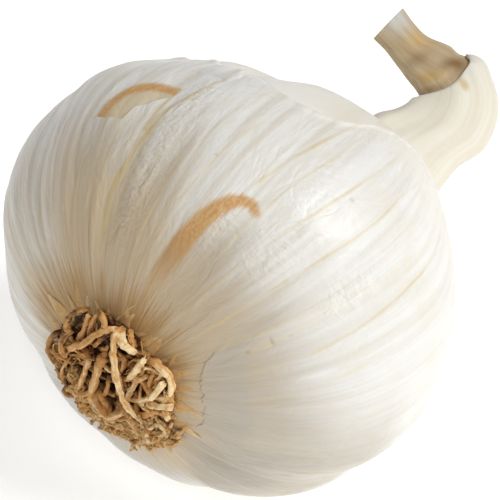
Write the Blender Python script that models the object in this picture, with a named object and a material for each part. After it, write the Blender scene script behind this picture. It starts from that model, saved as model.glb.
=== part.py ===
"""Whole garlic bulb lying on its side: wrapped head with curled neck, dry stalk and root plate.

The bulb's axis lies along +X, from the root plate at -X to the neck at +X. Z = 0 is the surface it
rests on, and the origin is the middle of the small flat spot under the widest ring. Shapes are worked
out in millimetres and written to the meshes in metres.
"""
import math
import random

import bmesh
import bpy
import numpy as np

MM = 0.001
GAP = 0.3

# Driving dimensions, in millimetres
BULB_RADIUS = 30.0
ROOT_DEPTH = 22.2
CROWN_DEPTH = 23.8
AXIS_HEIGHT = 28.7
DISH_RADIUS = 8.5
PLATE_RADIUS = 7.5
ROOT_STUB_RADIUS = 0.55
NECK_RADIUS = 6.4
SHEATH_WALL = 0.55

# How square the two ends of the meridian are: powers of a superellipse
ROOT_FULLNESS = 2.24
CROWN_FULLNESS = 1.90

# Slow changes of radius round the axis: (waves per turn, cosine part, sine part)
ROUND_WAVES = ((1, -0.006, 0.0), (2, 0.022, -0.012), (3, 0.0, 0.012), (4, -0.004, 0.005))

# Valleys between the cloves: (angle in degrees, depth at the waist, depth at the crown, half-width)
VALLEYS = (
    (3, 0.7, 1.2, 8.0), (40, 1.4, 1.7, 8.0), (79, 0.7, 0.6, 8.0), (117, 0.5, 0.2, 9.0),
    (152, 0.4, 0.5, 9.0), (186, 0.5, 0.8, 9.0), (213, 1.2, 1.9, 8.0), (249, 0.9, 1.6, 8.0),
    (291, 1.0, 1.7, 8.0), (328, 1.1, 1.8, 8.0),
)
CLOVE_SWELL = 0.25
VALLEYS_DEEPEN = (2.0, 18.0)
CLOVES_FADE = (19.0, 31.0)

# Shoulder: a cone that draws the crown in to the neck
SHOULDER_PLACE = 20.0
SHOULDER_FLARE = 14.0
SHOULDER_FALL = 2.6
SHOULDER_BLEND = 2.0
SHOULDER_SPAN = (6.0, 16.0)
BODY_END = 31.0
NECK_DRIFT = (18.0, 35.7)
NECK_OFFSET = (-3.95, -2.18)

# The neck curls in one plane, turned about Z and leaned back, with its own right and up directions
CURL_TURN = math.radians(-53.5)
CURL_LEAN = math.radians(42.1)
INNER_SIDE = math.radians(38.0)

# Neck in the curl's plane: inner edge, outer edge, distance behind the bulb's centre, half-thickness
NECK_STATIONS = (
    ((20.5, 21.6), (28.4, 10.4), 21.0, 6.4),
    ((23.2, 22.4), (32.2, 14.9), 23.5, 5.5),
    ((25.0, 23.5), (36.0, 17.6), 25.0, 5.2),
    ((26.2, 24.8), (37.9, 21.5), 26.0, 4.9),
    ((26.6, 25.8), (38.1, 24.8), 26.3, 4.7),
    ((26.4, 26.2), (37.3, 27.6), 26.3, 4.6),
    ((25.9, 26.8), (36.1, 30.0), 26.0, 4.4),
    ((25.3, 27.4), (33.0, 31.3), 25.5, 3.7),
    ((24.4, 28.5), (30.6, 32.3), 25.0, 3.1),
    ((23.6, 29.4), (28.1, 33.3), 24.6, 2.6),
    ((22.1, 31.2), (26.3, 34.9), 24.0, 2.3),
    ((20.4, 32.7), (24.6, 37.0), 23.2, 2.2),
)

# Lengthwise folds of the neck, as a share of its half-width, and where they grow along the axis
FOLD_DEPTH = 0.045
FOLDS_GROW = (24.0, 36.0)

# Sheath's slanted mouth, as distances along the axis, and the pocket that the stalk stands in
MOUTH_MIDDLE = 51.7
MOUTH_SLANT = 3.3
POCKET_DEPTH = 2.0
POCKET_CLEARANCE = 0.7
STALK_FILLS_OUT = 2.2

# Mesh counts
HEAD_SIDES = 64
BODY_RINGS = 30
NECK_RINGS = 12
STALK_SIDES = 32
STALK_RINGS = 8

# Root end, with heights measured outwards from the dish's rim plane
DISH_PLANE = -21.0
DISH_FLOOR = -20.5
PLATE_TOP = 1.2
PLATE_SIDES = 30
SUNK = 0.7
SKIN_FULLEST = 1.035
MAT_RADIUS = 10.2
RIM_WIDTH = 1.3
RULED_ROOTS = 40
ROOT_SIDES = 5
STEP_RISES = (1.6, 0.7, -0.1, -0.45)
TATTERS = 34
TATTER_THICKNESS = 0.65
TATTER_START = 6.2
TATTER_TIP_HALF_WIDTH = 0.15

# Long roots that lie across the plate, as (radius, angle in degrees, height) points
LONG_ROOTS = (
    ((8.6, 100, 1.4), (8.9, 101, 3.4), (5.9, 112, 4.2), (3.0, 164, 4.1), (3.7, 203, 3.6), (5.4, 219, 2.9)),
    ((2.0, 156, 0.4), (2.6, 154, 2.0), (5.5, 137, 3.0), (8.9, 130, 3.6), (10.8, 128, 4.0)),
    ((3.4, 300, 0.4), (4.9, 297, 2.8), (4.9, 281, 3.5), (5.2, 265, 3.5), (4.4, 236, 3.0)),
    ((4.6, 186, 0.4), (5.6, 184, 2.0), (7.2, 178, 2.9), (9.8, 171, 2.8)),
    ((7.0, 130, 0.4), (9.4, 138, 2.0), (10.6, 148, 2.3), (9.8, 160, 2.3), (8.0, 176, 2.1)),
    ((3.0, 205, 0.4), (4.2, 196, 2.2), (6.9, 168, 2.9), (10.0, 150, 3.0)),
    ((7.4, 96, 0.4), (9.2, 104, 2.6), (8.8, 111, 3.2), (8.6, 121, 2.8)),
    ((6.6, 8, 0.4), (6.4, 20, 2.6), (6.0, 60, 3.5), (8.6, 88, 3.4), (9.6, 98, 2.6)),
    ((7.4, 22, 0.4), (9.4, 12, 2.0), (9.8, 356, 2.3), (8.8, 346, 2.4)),
)


def smoothstep(low, high, value):
    t = min(max((value - low) / (high - low), 0.0), 1.0)
    return t * t * (3.0 - 2.0 * t)


def angle_between(a, b):
    return (a - b + math.pi) % (2.0 * math.pi) - math.pi


def root_ring(turn):
    """Distance along the axis and radius on the root side, for a turn from the pole to the equator."""
    along = -ROOT_DEPTH * math.cos(turn) ** (2.0 / ROOT_FULLNESS)
    radius = BULB_RADIUS * math.sin(turn) ** (2.0 / ROOT_FULLNESS)
    return along, radius


def crown_radius(along):
    """Radius on the neck side: the crown's curve joined softly to the cone of the shoulder."""
    reach = max(1.0 - (along / CROWN_DEPTH) ** CROWN_FULLNESS, 0.0)
    crown = BULB_RADIUS * reach ** (1.0 / CROWN_FULLNESS)
    cone = NECK_RADIUS + SHOULDER_FLARE / (1.0 + math.exp((along - SHOULDER_PLACE) / SHOULDER_FALL))
    joined = 0.5 * (crown + cone + math.hypot(crown - cone, SHOULDER_BLEND))
    share = smoothstep(*SHOULDER_SPAN, along)
    return crown + share * (joined - crown)


def meridian(rings):
    """Rings from the dish's rim to the end of the body, evenly spaced along the meridian."""
    first = math.asin((DISH_RADIUS / BULB_RADIUS) ** (ROOT_FULLNESS / 2.0))
    points = [root_ring(turn) for turn in np.linspace(first, math.pi / 2.0, 200)]
    points += [(along, crown_radius(along)) for along in np.linspace(0.0, BODY_END, 300)[1:]]
    points = np.array(points)
    run = np.concatenate([[0.0], np.cumsum(np.hypot(*np.diff(points, axis=0).T))])
    even = np.linspace(0.0, run[-1], rings)
    return np.stack([np.interp(even, run, points[:, 0]), np.interp(even, run, points[:, 1])], axis=1)


def lobes(along, around):
    """Radius factor of the cloves under the wrapper at one place."""
    factor = sum(c * math.cos(n * around) + s * math.sin(n * around) for n, c, s in ROUND_WAVES)
    crown_share = smoothstep(*VALLEYS_DEEPEN, along)
    swell = CLOVE_SWELL
    for place, waist_depth, crown_depth, width in VALLEYS:
        off = angle_between(around, math.radians(place)) / math.radians(width)
        depth = waist_depth + crown_share * (crown_depth - waist_depth)
        swell -= depth * math.exp(-off * off)
    fade = 1.0 - smoothstep(*CLOVES_FADE, along)
    return 1.0 + (factor + swell / BULB_RADIUS) * fade


def folds(along, around):
    """Lengthwise folds of the neck sheath and the stalk."""
    gain = smoothstep(*FOLDS_GROW, along)
    wave = 0.5 * math.sin(5.0 * around + 0.12 * along) + 0.5 * math.sin(8.0 * around - 0.07 * along + 1.3)
    return 1.0 + FOLD_DEPTH * gain * wave


CURL_RIGHT = np.array([math.cos(CURL_TURN), math.sin(CURL_TURN), 0.0])
CURL_BACK = np.array([
    math.sin(CURL_TURN) * math.cos(CURL_LEAN),
    -math.cos(CURL_TURN) * math.cos(CURL_LEAN),
    math.sin(CURL_LEAN),
])
CURL_UP = np.cross(CURL_BACK, CURL_RIGHT)


def body_section(along, radius):
    """Centre and the two half-axes of a round section: towards the curl's inside, then a quarter on."""
    drift = smoothstep(*NECK_DRIFT, along)
    centre = np.array([along, NECK_OFFSET[0] * drift, NECK_OFFSET[1] * drift])
    inner = radius * np.array([0.0, math.cos(INNER_SIDE), math.sin(INNER_SIDE)])
    side = radius * np.array([0.0, -math.sin(INNER_SIDE), math.cos(INNER_SIDE)])
    return np.concatenate([centre, inner, side])


def neck_section(inner_edge, outer_edge, behind, half_thickness):
    """Centre and half-axes of a neck section, from its two edges in the curl's plane."""
    inner = np.array(inner_edge)
    outer = np.array(outer_edge)
    middle = 0.5 * (inner + outer)
    half = 0.5 * (inner - outer)
    centre = middle[0] * CURL_RIGHT + middle[1] * CURL_UP - behind * CURL_BACK
    return np.concatenate([centre, half[0] * CURL_RIGHT + half[1] * CURL_UP, half_thickness * CURL_BACK])


def neck_knots():
    """Sections that the neck passes through, with their distances along the axis."""
    early = (BODY_END - 6.0, BODY_END - 3.0, BODY_END)
    sections = [body_section(along, crown_radius(along)) for along in early]
    sections += [neck_section(*station) for station in NECK_STATIONS]
    sections = np.array(sections)
    steps = np.linalg.norm(np.diff(sections[:, :3], axis=0), axis=1)
    places = early[0] + np.concatenate([[0.0], np.cumsum(steps)])
    return places, sections


KNOT_PLACES, KNOT_SECTIONS = neck_knots()
TIP = KNOT_PLACES[-1]


def neck_at(along):
    """Section at a distance along the axis, on a smooth curve through the knots."""
    k = int(np.clip(np.searchsorted(KNOT_PLACES, along) - 1, 1, len(KNOT_PLACES) - 2))
    low, high = KNOT_PLACES[k], KNOT_PLACES[k + 1]
    before = max(k - 1, 0)
    after = min(k + 2, len(KNOT_PLACES) - 1)
    span = high - low
    t = (along - low) / span
    start = (KNOT_SECTIONS[k + 1] - KNOT_SECTIONS[before]) / (high - KNOT_PLACES[before]) * span
    finish = (KNOT_SECTIONS[after] - KNOT_SECTIONS[k]) / (KNOT_PLACES[after] - low) * span
    return (
        (2 * t ** 3 - 3 * t ** 2 + 1) * KNOT_SECTIONS[k]
        + (t ** 3 - 2 * t ** 2 + t) * start
        + (3 * t ** 2 - 2 * t ** 3) * KNOT_SECTIONS[k + 1]
        + (t ** 3 - t ** 2) * finish
    )


def surface_point(section, along, around, inset=0.0):
    """Point on a section at an angle round the axis, moved in from the skin by an inset."""
    turn = around - INNER_SIDE
    factor = lobes(along, around) * folds(along, around)
    arm = section[3:6] * math.cos(turn) + section[6:9] * math.sin(turn)
    length = np.linalg.norm(arm)
    return section[0:3] + arm * (factor - inset / length)


def mouth_place(around):
    return MOUTH_MIDDLE - MOUTH_SLANT * math.cos(around - INNER_SIDE)


def stand(point):
    """Millimetres about the bulb's centre to metres above the surface, pressed flat where they meet it."""
    return (point[0] * MM, point[1] * MM, max(point[2] + AXIS_HEIGHT, 0.0) * MM)


def loft(rings, closed_start, closed_end):
    """Closed mesh through rings of points, with a fan at each end about the point given for it."""
    mesh = bmesh.new()
    levels = [[mesh.verts.new(stand(p)) for p in ring] for ring in rings]
    count = len(rings[0])
    for lower, upper in zip(levels, levels[1:]):
        for j in range(count):
            n = (j + 1) % count
            mesh.faces.new((lower[j], lower[n], upper[n], upper[j]))
    for level, middle in ((levels[0], closed_start), (levels[-1], closed_end)):
        pole = mesh.verts.new(stand(middle))
        for j in range(count):
            mesh.faces.new((level[j], level[(j + 1) % count], pole))
    bmesh.ops.triangulate(mesh, faces=mesh.faces[:])
    bmesh.ops.recalc_face_normals(mesh, faces=mesh.faces[:])
    return mesh


def make_material(name, colour, roughness):
    material = bpy.data.materials.new(name)
    material.use_nodes = True
    shader = material.node_tree.nodes["Principled BSDF"]
    shader.inputs["Base Color"].default_value = (*colour, 1.0)
    shader.inputs["Roughness"].default_value = roughness
    shader.inputs["Metallic"].default_value = 0.0
    return material


def make_object(name, mesh, material):
    data = bpy.data.meshes.new(name)
    mesh.to_mesh(data)
    mesh.free()
    data.shade_smooth()
    data.materials.append(material)
    item = bpy.data.objects.new(name, data)
    bpy.context.scene.collection.objects.link(item)
    return item


def around_angles(count):
    return [2.0 * math.pi * j / count for j in range(count)]


def build_head():
    """Cloves in their wrapper, drawn in to the neck sheath, with a pocket for the stalk."""
    angles = around_angles(HEAD_SIDES)
    rings = [
        [np.array([DISH_FLOOR, r * math.cos(a), r * math.sin(a)]) for a in angles]
        for r in (0.5 * DISH_RADIUS, DISH_RADIUS - 0.1)
    ]
    for along, radius in meridian(BODY_RINGS):
        section = body_section(along, radius)
        rings.append([surface_point(section, along, a) for a in angles])
    for k in range(1, NECK_RINGS + 1):
        share = k / NECK_RINGS
        ring = []
        for a in angles:
            along = BODY_END + share * (mouth_place(a) - BODY_END)
            ring.append(surface_point(neck_at(along), along, a))
        rings.append(ring)
    for back in (0.0, 0.5 * POCKET_DEPTH, POCKET_DEPTH):
        ring = []
        for a in angles:
            along = mouth_place(a) - back
            ring.append(surface_point(neck_at(along), along, a, SHEATH_WALL))
        rings.append(ring)
    floor_middle = neck_at(MOUTH_MIDDLE - POCKET_DEPTH)[0:3]
    return loft(rings, np.array([DISH_FLOOR, 0.0, 0.0]), floor_middle)


def build_stalk():
    """Dry inner stalk, from the pocket in the sheath to its square-cut tip."""
    angles = around_angles(STALK_SIDES)
    base_back = POCKET_DEPTH - POCKET_CLEARANCE
    rings = [
        [stalk_point(mouth_place(a) - back, a) for a in angles]
        for back in (base_back, 0.5 * base_back)
    ]
    for k in range(STALK_RINGS + 1):
        share = k / STALK_RINGS
        ring = []
        for a in angles:
            start = mouth_place(a) + GAP
            ring.append(stalk_point(start + share * (TIP - start), a))
        rings.append(ring)
    base_middle = neck_at(MOUTH_MIDDLE - base_back)[0:3]
    tip_middle = neck_at(TIP)[0:3]
    return loft(rings, base_middle, tip_middle)


def stalk_point(along, around):
    """Point on the stalk, which fits inside the sheath up to its mouth and fills out past it."""
    past = along - mouth_place(around)
    inset = (SHEATH_WALL + GAP) * (1.0 - smoothstep(GAP, STALK_FILLS_OUT, past))
    return surface_point(neck_at(along), along, around, inset)


def skin_height(radius):
    """Height of the fullest clove's skin above the dish's rim plane, near the root end."""
    outline = 1.0 - (radius / (SKIN_FULLEST * BULB_RADIUS)) ** ROOT_FULLNESS
    return DISH_PLANE + ROOT_DEPTH * outline ** (1.0 / ROOT_FULLNESS)


def plate_point(radius, around, height):
    """Point at the root end from its radius, its angle and its height above the dish's rim plane."""
    return np.array([DISH_PLANE - height, radius * math.cos(around), radius * math.sin(around)])


def build_plate():
    """Basal plate: a low brown disc, hollowed a little at its middle."""
    angles = around_angles(PLATE_SIDES)
    base = DISH_PLANE - (DISH_FLOOR - GAP)
    hollow = 0.4 * PLATE_RADIUS
    levels = (
        (hollow, base), (PLATE_RADIUS, base), (PLATE_RADIUS, PLATE_TOP - 0.4),
        (PLATE_RADIUS - 0.9, PLATE_TOP), (hollow, PLATE_TOP - 0.3),
    )
    rings = [[plate_point(r, a, h) for a in angles] for r, h in levels]
    return loft(rings, plate_point(0.0, 0.0, base), plate_point(0.0, 0.0, PLATE_TOP - 0.5))


def smooth_path(points, pieces):
    """Points on a smooth curve through hand-set ones."""
    points = np.array(points)
    padded = np.vstack([2 * points[0] - points[1], points, 2 * points[-1] - points[-2]])
    path = []
    for k in range(1, len(padded) - 2):
        a, b, c, d = padded[k - 1:k + 3]
        for t in np.arange(pieces) / pieces:
            path.append(0.5 * (2 * b + (c - a) * t + (2 * a - 5 * b + 4 * c - d) * t ** 2
                               + (3 * b - a - 3 * c + d) * t ** 3))
    path.append(points[-1])
    return np.array(path)


def tube(path, radius, sides):
    """Closed tube with square-cut ends along a path, slightly thicker at its root."""
    forward = path[1] - path[0]
    side = np.cross(forward, (0.31, 0.52, 0.79))
    rings = []
    for k, point in enumerate(path):
        ahead = path[min(k + 1, len(path) - 1)] - path[max(k - 1, 0)]
        ahead /= np.linalg.norm(ahead)
        side = side - ahead * np.dot(side, ahead)
        side /= np.linalg.norm(side)
        across = np.cross(ahead, side)
        width = radius * (1.12 - 0.2 * k / (len(path) - 1))
        rings.append([
            point + width * (math.cos(a) * side + math.sin(a) * across)
            for a in around_angles(sides)
        ])
    return loft(rings, path[0], path[-1])


def lifted(radius, height, clearance):
    """Height raised where needed so that a root stays clear of the skin outside the dish."""
    if radius < PLATE_RADIUS - RIM_WIDTH:
        return height
    return max(height, skin_height(radius) + clearance)


def root_clearance(thickness):
    """Height of a root's middle line over the skin: its own radius, the gap and a little for facets."""
    return 1.15 * thickness + GAP + 0.2


def ruled_root(rng, number):
    """Short curled stub that starts on the plate and leans over, by a seeded rule."""
    share = (number + 0.5) / RULED_ROOTS
    start_radius = (PLATE_RADIUS - RIM_WIDTH) * math.sqrt(share)
    around = number * math.pi * (3.0 - math.sqrt(5.0)) + rng.uniform(-0.15, 0.15)
    heading = around + math.radians(rng.choice((-1, 1)) * rng.uniform(5.0, 105.0) * (1.2 - 0.5 * share))
    bend = math.radians(rng.uniform(-38.0, 38.0))
    reach = rng.uniform(1.0, 1.7)
    rise = rng.uniform(0.7, 1.5)
    y = start_radius * math.cos(around)
    z = start_radius * math.sin(around)
    height = PLATE_TOP - SUNK
    thickness = ROOT_STUB_RADIUS * rng.uniform(0.85, 1.15)
    points = [np.array([DISH_PLANE - height, y, z])]
    for step, step_rise in enumerate(STEP_RISES):
        stride = reach * (0.25 if step == 0 else 1.0)
        y += stride * math.cos(heading)
        z += stride * math.sin(heading)
        away = math.hypot(y, z)
        kept = min(away, MAT_RADIUS)
        y *= kept / away
        z *= kept / away
        height += rise * step_rise
        height = lifted(kept, height, root_clearance(thickness))
        heading += bend + math.radians(rng.uniform(-22.0, 22.0))
        points.append(np.array([DISH_PLANE - height, y, z]))
    return tube(np.array(points), thickness, ROOT_SIDES)


def long_root(route):
    """Longer root along a hand-set route across the plate."""
    (first_radius, first_angle, first_height), *rest = route
    clearance = root_clearance(ROOT_STUB_RADIUS)
    points = [plate_point(first_radius, math.radians(first_angle), first_height)]
    points += [plate_point(r, math.radians(a), lifted(r, h, clearance)) for r, a, h in rest]
    return tube(smooth_path(points, 2), ROOT_STUB_RADIUS, ROOT_SIDES + 1)


def tatter(rng, number):
    """Pointed scrap of dry skin that runs out from the plate, just clear of the skin under it."""
    around = 2.0 * math.pi * (number + rng.uniform(-0.3, 0.3)) / TATTERS
    tip = rng.uniform(10.6, 13.4)
    width = rng.uniform(0.55, 0.95)
    lift = rng.uniform(0.0, 0.22)
    lean = math.radians(rng.uniform(-6.0, 6.0))
    mesh = bmesh.new()
    levels = []
    for radius, half, thickness in (
        (TATTER_START, width, TATTER_THICKNESS),
        (0.4 * TATTER_START + 0.6 * tip, 0.9 * width, TATTER_THICKNESS),
        (tip, TATTER_TIP_HALF_WIDTH, 0.5 * TATTER_THICKNESS),
    ):
        low = skin_height(max(radius, DISH_RADIUS)) + GAP + 0.1 + lift
        angle = around + lean * (radius - TATTER_START) / 4.0
        spread = half / radius
        corners = [plate_point(radius, angle + s * spread, low + h)
                   for s, h in ((-1, 0.0), (1, 0.0), (1, thickness), (-1, thickness))]
        levels.append([mesh.verts.new(stand(p)) for p in corners])
    for lower, upper in zip(levels, levels[1:]):
        for j in range(4):
            mesh.faces.new((lower[j], lower[(j + 1) % 4], upper[(j + 1) % 4], upper[j]))
    mesh.faces.new(levels[0])
    mesh.faces.new(levels[-1])
    bmesh.ops.triangulate(mesh, faces=mesh.faces[:])
    bmesh.ops.recalc_face_normals(mesh, faces=mesh.faces[:])
    return mesh


def largest_body(data):
    """Keep a mesh's outer body: sealed hollows are filled and loose scraps dropped."""
    mesh = bmesh.new()
    mesh.from_mesh(data)
    waiting = set(mesh.verts)
    bodies = []
    while waiting:
        seed = waiting.pop()
        body = [seed]
        for vertex in body:
            for edge in vertex.link_edges:
                other = edge.other_vert(vertex)
                if other in waiting:
                    waiting.remove(other)
                    body.append(other)
        bodies.append(body)
    bodies.sort(key=len)
    for body in bodies[:-1]:
        bmesh.ops.delete(mesh, geom=body, context="VERTS")
    bmesh.ops.triangulate(mesh, faces=mesh.faces[:])
    mesh.to_mesh(data)
    mesh.free()


def fuse(base, meshes, material):
    """Join every mesh to the base with one union, then drop the pieces it was made from."""
    group = bpy.data.collections.new("root_pieces")
    bpy.context.scene.collection.children.link(group)
    for number, mesh in enumerate(meshes):
        item = make_object("root_piece_%02d" % number, mesh, material)
        bpy.context.scene.collection.objects.unlink(item)
        group.objects.link(item)
    union = base.modifiers.new("join", "BOOLEAN")
    union.operation = "UNION"
    union.operand_type = "COLLECTION"
    union.collection = group
    union.solver = "MANIFOLD"
    bpy.context.view_layer.update()
    evaluated = base.evaluated_get(bpy.context.evaluated_depsgraph_get())
    joined = bpy.data.meshes.new_from_object(evaluated)
    base.modifiers.clear()
    largest_body(joined)
    base.data = joined
    for item in list(group.objects):
        bpy.data.objects.remove(item)
    bpy.data.collections.remove(group)


def build_root_plate(material):
    rng = random.Random(13)
    base = make_object("root_plate", build_plate(), material)
    pieces = [ruled_root(rng, number) for number in range(RULED_ROOTS)]
    pieces += [long_root(route) for route in LONG_ROOTS]
    pieces += [tatter(rng, number) for number in range(TATTERS)]
    fuse(base, pieces, material)


def main():
    for item in list(bpy.data.objects):
        bpy.data.objects.remove(item, do_unlink=True)
    wrapper = make_material("wrapper", (0.82, 0.79, 0.73), 0.55)
    dry_skin = make_material("dry_skin", (0.42, 0.30, 0.17), 0.7)
    root_brown = make_material("root_brown", (0.36, 0.20, 0.09), 0.85)
    make_object("head", build_head(), wrapper)
    make_object("dry_neck", build_stalk(), dry_skin)
    build_root_plate(root_brown)


main()
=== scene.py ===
"""Looks of a whole garlic bulb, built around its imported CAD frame.

Shapes are worked out in millimetres about the bulb's centre, with the same formulas as the solids, and
then stood on the surface in metres. Places on the skin are given by an angle round the axis (0 at +Y,
90 at +Z) and a run: the length along the meridian, from the root end towards the neck.
"""
import math
import random

import bpy
import numpy as np
from mathutils import Matrix, Vector


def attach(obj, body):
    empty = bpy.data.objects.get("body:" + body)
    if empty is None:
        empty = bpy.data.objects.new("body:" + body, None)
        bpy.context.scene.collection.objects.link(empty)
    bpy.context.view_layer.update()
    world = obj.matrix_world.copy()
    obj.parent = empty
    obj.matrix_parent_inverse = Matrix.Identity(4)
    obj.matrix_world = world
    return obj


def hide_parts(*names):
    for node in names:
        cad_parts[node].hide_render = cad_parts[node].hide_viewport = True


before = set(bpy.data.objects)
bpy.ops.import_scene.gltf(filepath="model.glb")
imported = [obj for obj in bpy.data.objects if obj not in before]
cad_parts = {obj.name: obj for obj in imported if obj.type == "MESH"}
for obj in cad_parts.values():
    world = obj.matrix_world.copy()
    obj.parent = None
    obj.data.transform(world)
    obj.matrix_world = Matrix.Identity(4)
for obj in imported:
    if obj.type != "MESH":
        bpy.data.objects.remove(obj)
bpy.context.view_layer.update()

MM = 0.001
GAP = 0.3
VEIN_SEED = 21
SOLIDS_SEED = 13
STUB_SEED = 31
MAT_SEED = 47
TATTER_SEED = 61

# The solids' own values
BULB_RADIUS = 30.0
ROOT_DEPTH = 22.2
CROWN_DEPTH = 23.8
AXIS_HEIGHT = 28.7
PLATE_RADIUS = 7.5
ROOT_STUB_RADIUS = 0.55
NECK_RADIUS = 6.4
SHEATH_WALL = 0.55
ROOT_FULLNESS = 2.24
CROWN_FULLNESS = 1.90
ROUND_WAVES = ((1, -0.006, 0.0), (2, 0.022, -0.012), (3, 0.0, 0.012), (4, -0.004, 0.005))
VALLEYS = (
    (3, 0.7, 1.2, 8.0), (40, 1.4, 1.7, 8.0), (79, 0.7, 0.6, 8.0), (117, 0.5, 0.2, 9.0),
    (152, 0.4, 0.5, 9.0), (186, 0.5, 0.8, 9.0), (213, 1.2, 1.9, 8.0), (249, 0.9, 1.6, 8.0),
    (291, 1.0, 1.7, 8.0), (328, 1.1, 1.8, 8.0),
)
CLOVE_SWELL = 0.25
VALLEYS_DEEPEN = (2.0, 18.0)
CLOVES_FADE = (19.0, 31.0)
SHOULDER_PLACE = 20.0
SHOULDER_FLARE = 14.0
SHOULDER_FALL = 2.6
SHOULDER_BLEND = 2.0
SHOULDER_SPAN = (6.0, 16.0)
BODY_END = 31.0
NECK_DRIFT = (18.0, 35.7)
NECK_OFFSET = (-3.95, -2.18)
CURL_TURN = math.radians(-53.5)
CURL_LEAN = math.radians(42.1)
INNER_SIDE = math.radians(38.0)
NECK_STATIONS = (
    ((20.5, 21.6), (28.4, 10.4), 21.0, 6.4),
    ((23.2, 22.4), (32.2, 14.9), 23.5, 5.5),
    ((25.0, 23.5), (36.0, 17.6), 25.0, 5.2),
    ((26.2, 24.8), (37.9, 21.5), 26.0, 4.9),
    ((26.6, 25.8), (38.1, 24.8), 26.3, 4.7),
    ((26.4, 26.2), (37.3, 27.6), 26.3, 4.6),
    ((25.9, 26.8), (36.1, 30.0), 26.0, 4.4),
    ((25.3, 27.4), (33.0, 31.3), 25.5, 3.7),
    ((24.4, 28.5), (30.6, 32.3), 25.0, 3.1),
    ((23.6, 29.4), (28.1, 33.3), 24.6, 2.6),
    ((22.1, 31.2), (26.3, 34.9), 24.0, 2.3),
    ((20.4, 32.7), (24.6, 37.0), 23.2, 2.2),
)
FOLD_DEPTH = 0.045
FOLDS_GROW = (24.0, 36.0)
MOUTH_MIDDLE = 51.7
MOUTH_SLANT = 3.3
POCKET_DEPTH = 2.0
POCKET_CLEARANCE = 0.7
STALK_FILLS_OUT = 2.2
DISH_PLANE = -21.0
PLATE_TOP = 1.2
SUNK = 0.7
SKIN_FULLEST = 1.035
MAT_RADIUS = 10.2
RIM_WIDTH = 1.3
RULED_ROOTS = 40
STEP_RISES = (1.6, 0.7, -0.1, -0.45)
TATTERS = 34
TATTER_START = 6.2
LONG_ROOTS = (
    ((8.6, 100, 1.4), (8.9, 101, 3.4), (5.9, 112, 4.2), (3.0, 164, 4.1), (3.7, 203, 3.6), (5.4, 219, 2.9)),
    ((2.0, 156, 0.4), (2.6, 154, 2.0), (5.5, 137, 3.0), (8.9, 130, 3.6), (10.8, 128, 4.0)),
    ((3.4, 300, 0.4), (4.9, 297, 2.8), (4.9, 281, 3.5), (5.2, 265, 3.5), (4.4, 236, 3.0)),
    ((4.6, 186, 0.4), (5.6, 184, 2.0), (7.2, 178, 2.9), (9.8, 171, 2.8)),
    ((7.0, 130, 0.4), (9.4, 138, 2.0), (10.6, 148, 2.3), (9.8, 160, 2.3), (8.0, 176, 2.1)),
    ((3.0, 205, 0.4), (4.2, 196, 2.2), (6.9, 168, 2.9), (10.0, 150, 3.0)),
    ((7.4, 96, 0.4), (9.2, 104, 2.6), (8.8, 111, 3.2), (8.6, 121, 2.8)),
    ((6.6, 8, 0.4), (6.4, 20, 2.6), (6.0, 60, 3.5), (8.6, 88, 3.4), (9.6, 98, 2.6)),
    ((7.4, 22, 0.4), (9.4, 12, 2.0), (9.8, 356, 2.3), (8.8, 346, 2.4)),
)

# Surface of the bulb, over whole arrays of places
RUN_FROM_RADIUS = 4.0
MERIDIAN_STEPS = 400
# No point stands lower than this over the floor, in millimetres
LOWEST = 0.02
# Angle, run, half-width in degrees, half-length in millimetres, height
SWELLINGS = (
    (62, 47.5, 9, 5.5, -0.70), (85, 52, 9, 5.5, -1.5), (42, 39, 9, 6, 1.2), (140, 60, 36, 8, 1.8),
)


def smoothstep(low, high, value):
    t = np.clip((value - low) / (high - low), 0.0, 1.0)
    return t * t * (3.0 - 2.0 * t)


def bell(value, middle, width):
    """One at the middle, falling softly to nothing on both sides."""
    return np.exp(-((value - middle) / width) ** 2)


def angle_between(a, b):
    return (a - b + math.pi) % (2.0 * math.pi) - math.pi


def crown_radius(along):
    reach = np.maximum(1.0 - (along / CROWN_DEPTH) ** CROWN_FULLNESS, 0.0)
    crown = BULB_RADIUS * reach ** (1.0 / CROWN_FULLNESS)
    cone = NECK_RADIUS + SHOULDER_FLARE / (1.0 + np.exp((along - SHOULDER_PLACE) / SHOULDER_FALL))
    joined = 0.5 * (crown + cone + np.hypot(crown - cone, SHOULDER_BLEND))
    return crown + smoothstep(*SHOULDER_SPAN, along) * (joined - crown)


def meridian_table():
    """Run, distance along the axis and radius, from near the root's middle to the end of the body."""
    first = math.asin((RUN_FROM_RADIUS / BULB_RADIUS) ** (ROOT_FULLNESS / 2.0))
    turn = np.linspace(first, math.pi / 2.0, MERIDIAN_STEPS)
    along = -ROOT_DEPTH * np.abs(np.cos(turn)) ** (2.0 / ROOT_FULLNESS)
    radius = BULB_RADIUS * np.sin(turn) ** (2.0 / ROOT_FULLNESS)
    crown = np.linspace(0.0, BODY_END, 600)[1:]
    along = np.concatenate([along, crown])
    radius = np.concatenate([radius, crown_radius(crown)])
    run = np.concatenate([[0.0], np.cumsum(np.hypot(np.diff(along), np.diff(radius)))])
    return run, along, radius


RUN_TABLE, ALONG_TABLE, RADIUS_TABLE = meridian_table()
RUN_BODY = RUN_TABLE[-1]


def lobes(along, around):
    factor = sum(c * np.cos(n * around) + s * np.sin(n * around) for n, c, s in ROUND_WAVES)
    crown_share = smoothstep(*VALLEYS_DEEPEN, along)
    swell = CLOVE_SWELL + 0.0 * around
    for place, waist_depth, crown_depth, width in VALLEYS:
        off = angle_between(around, math.radians(place)) / math.radians(width)
        swell = swell - (waist_depth + crown_share * (crown_depth - waist_depth)) * np.exp(-off * off)
    return 1.0 + (factor + swell / BULB_RADIUS) * (1.0 - smoothstep(*CLOVES_FADE, along))


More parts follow.
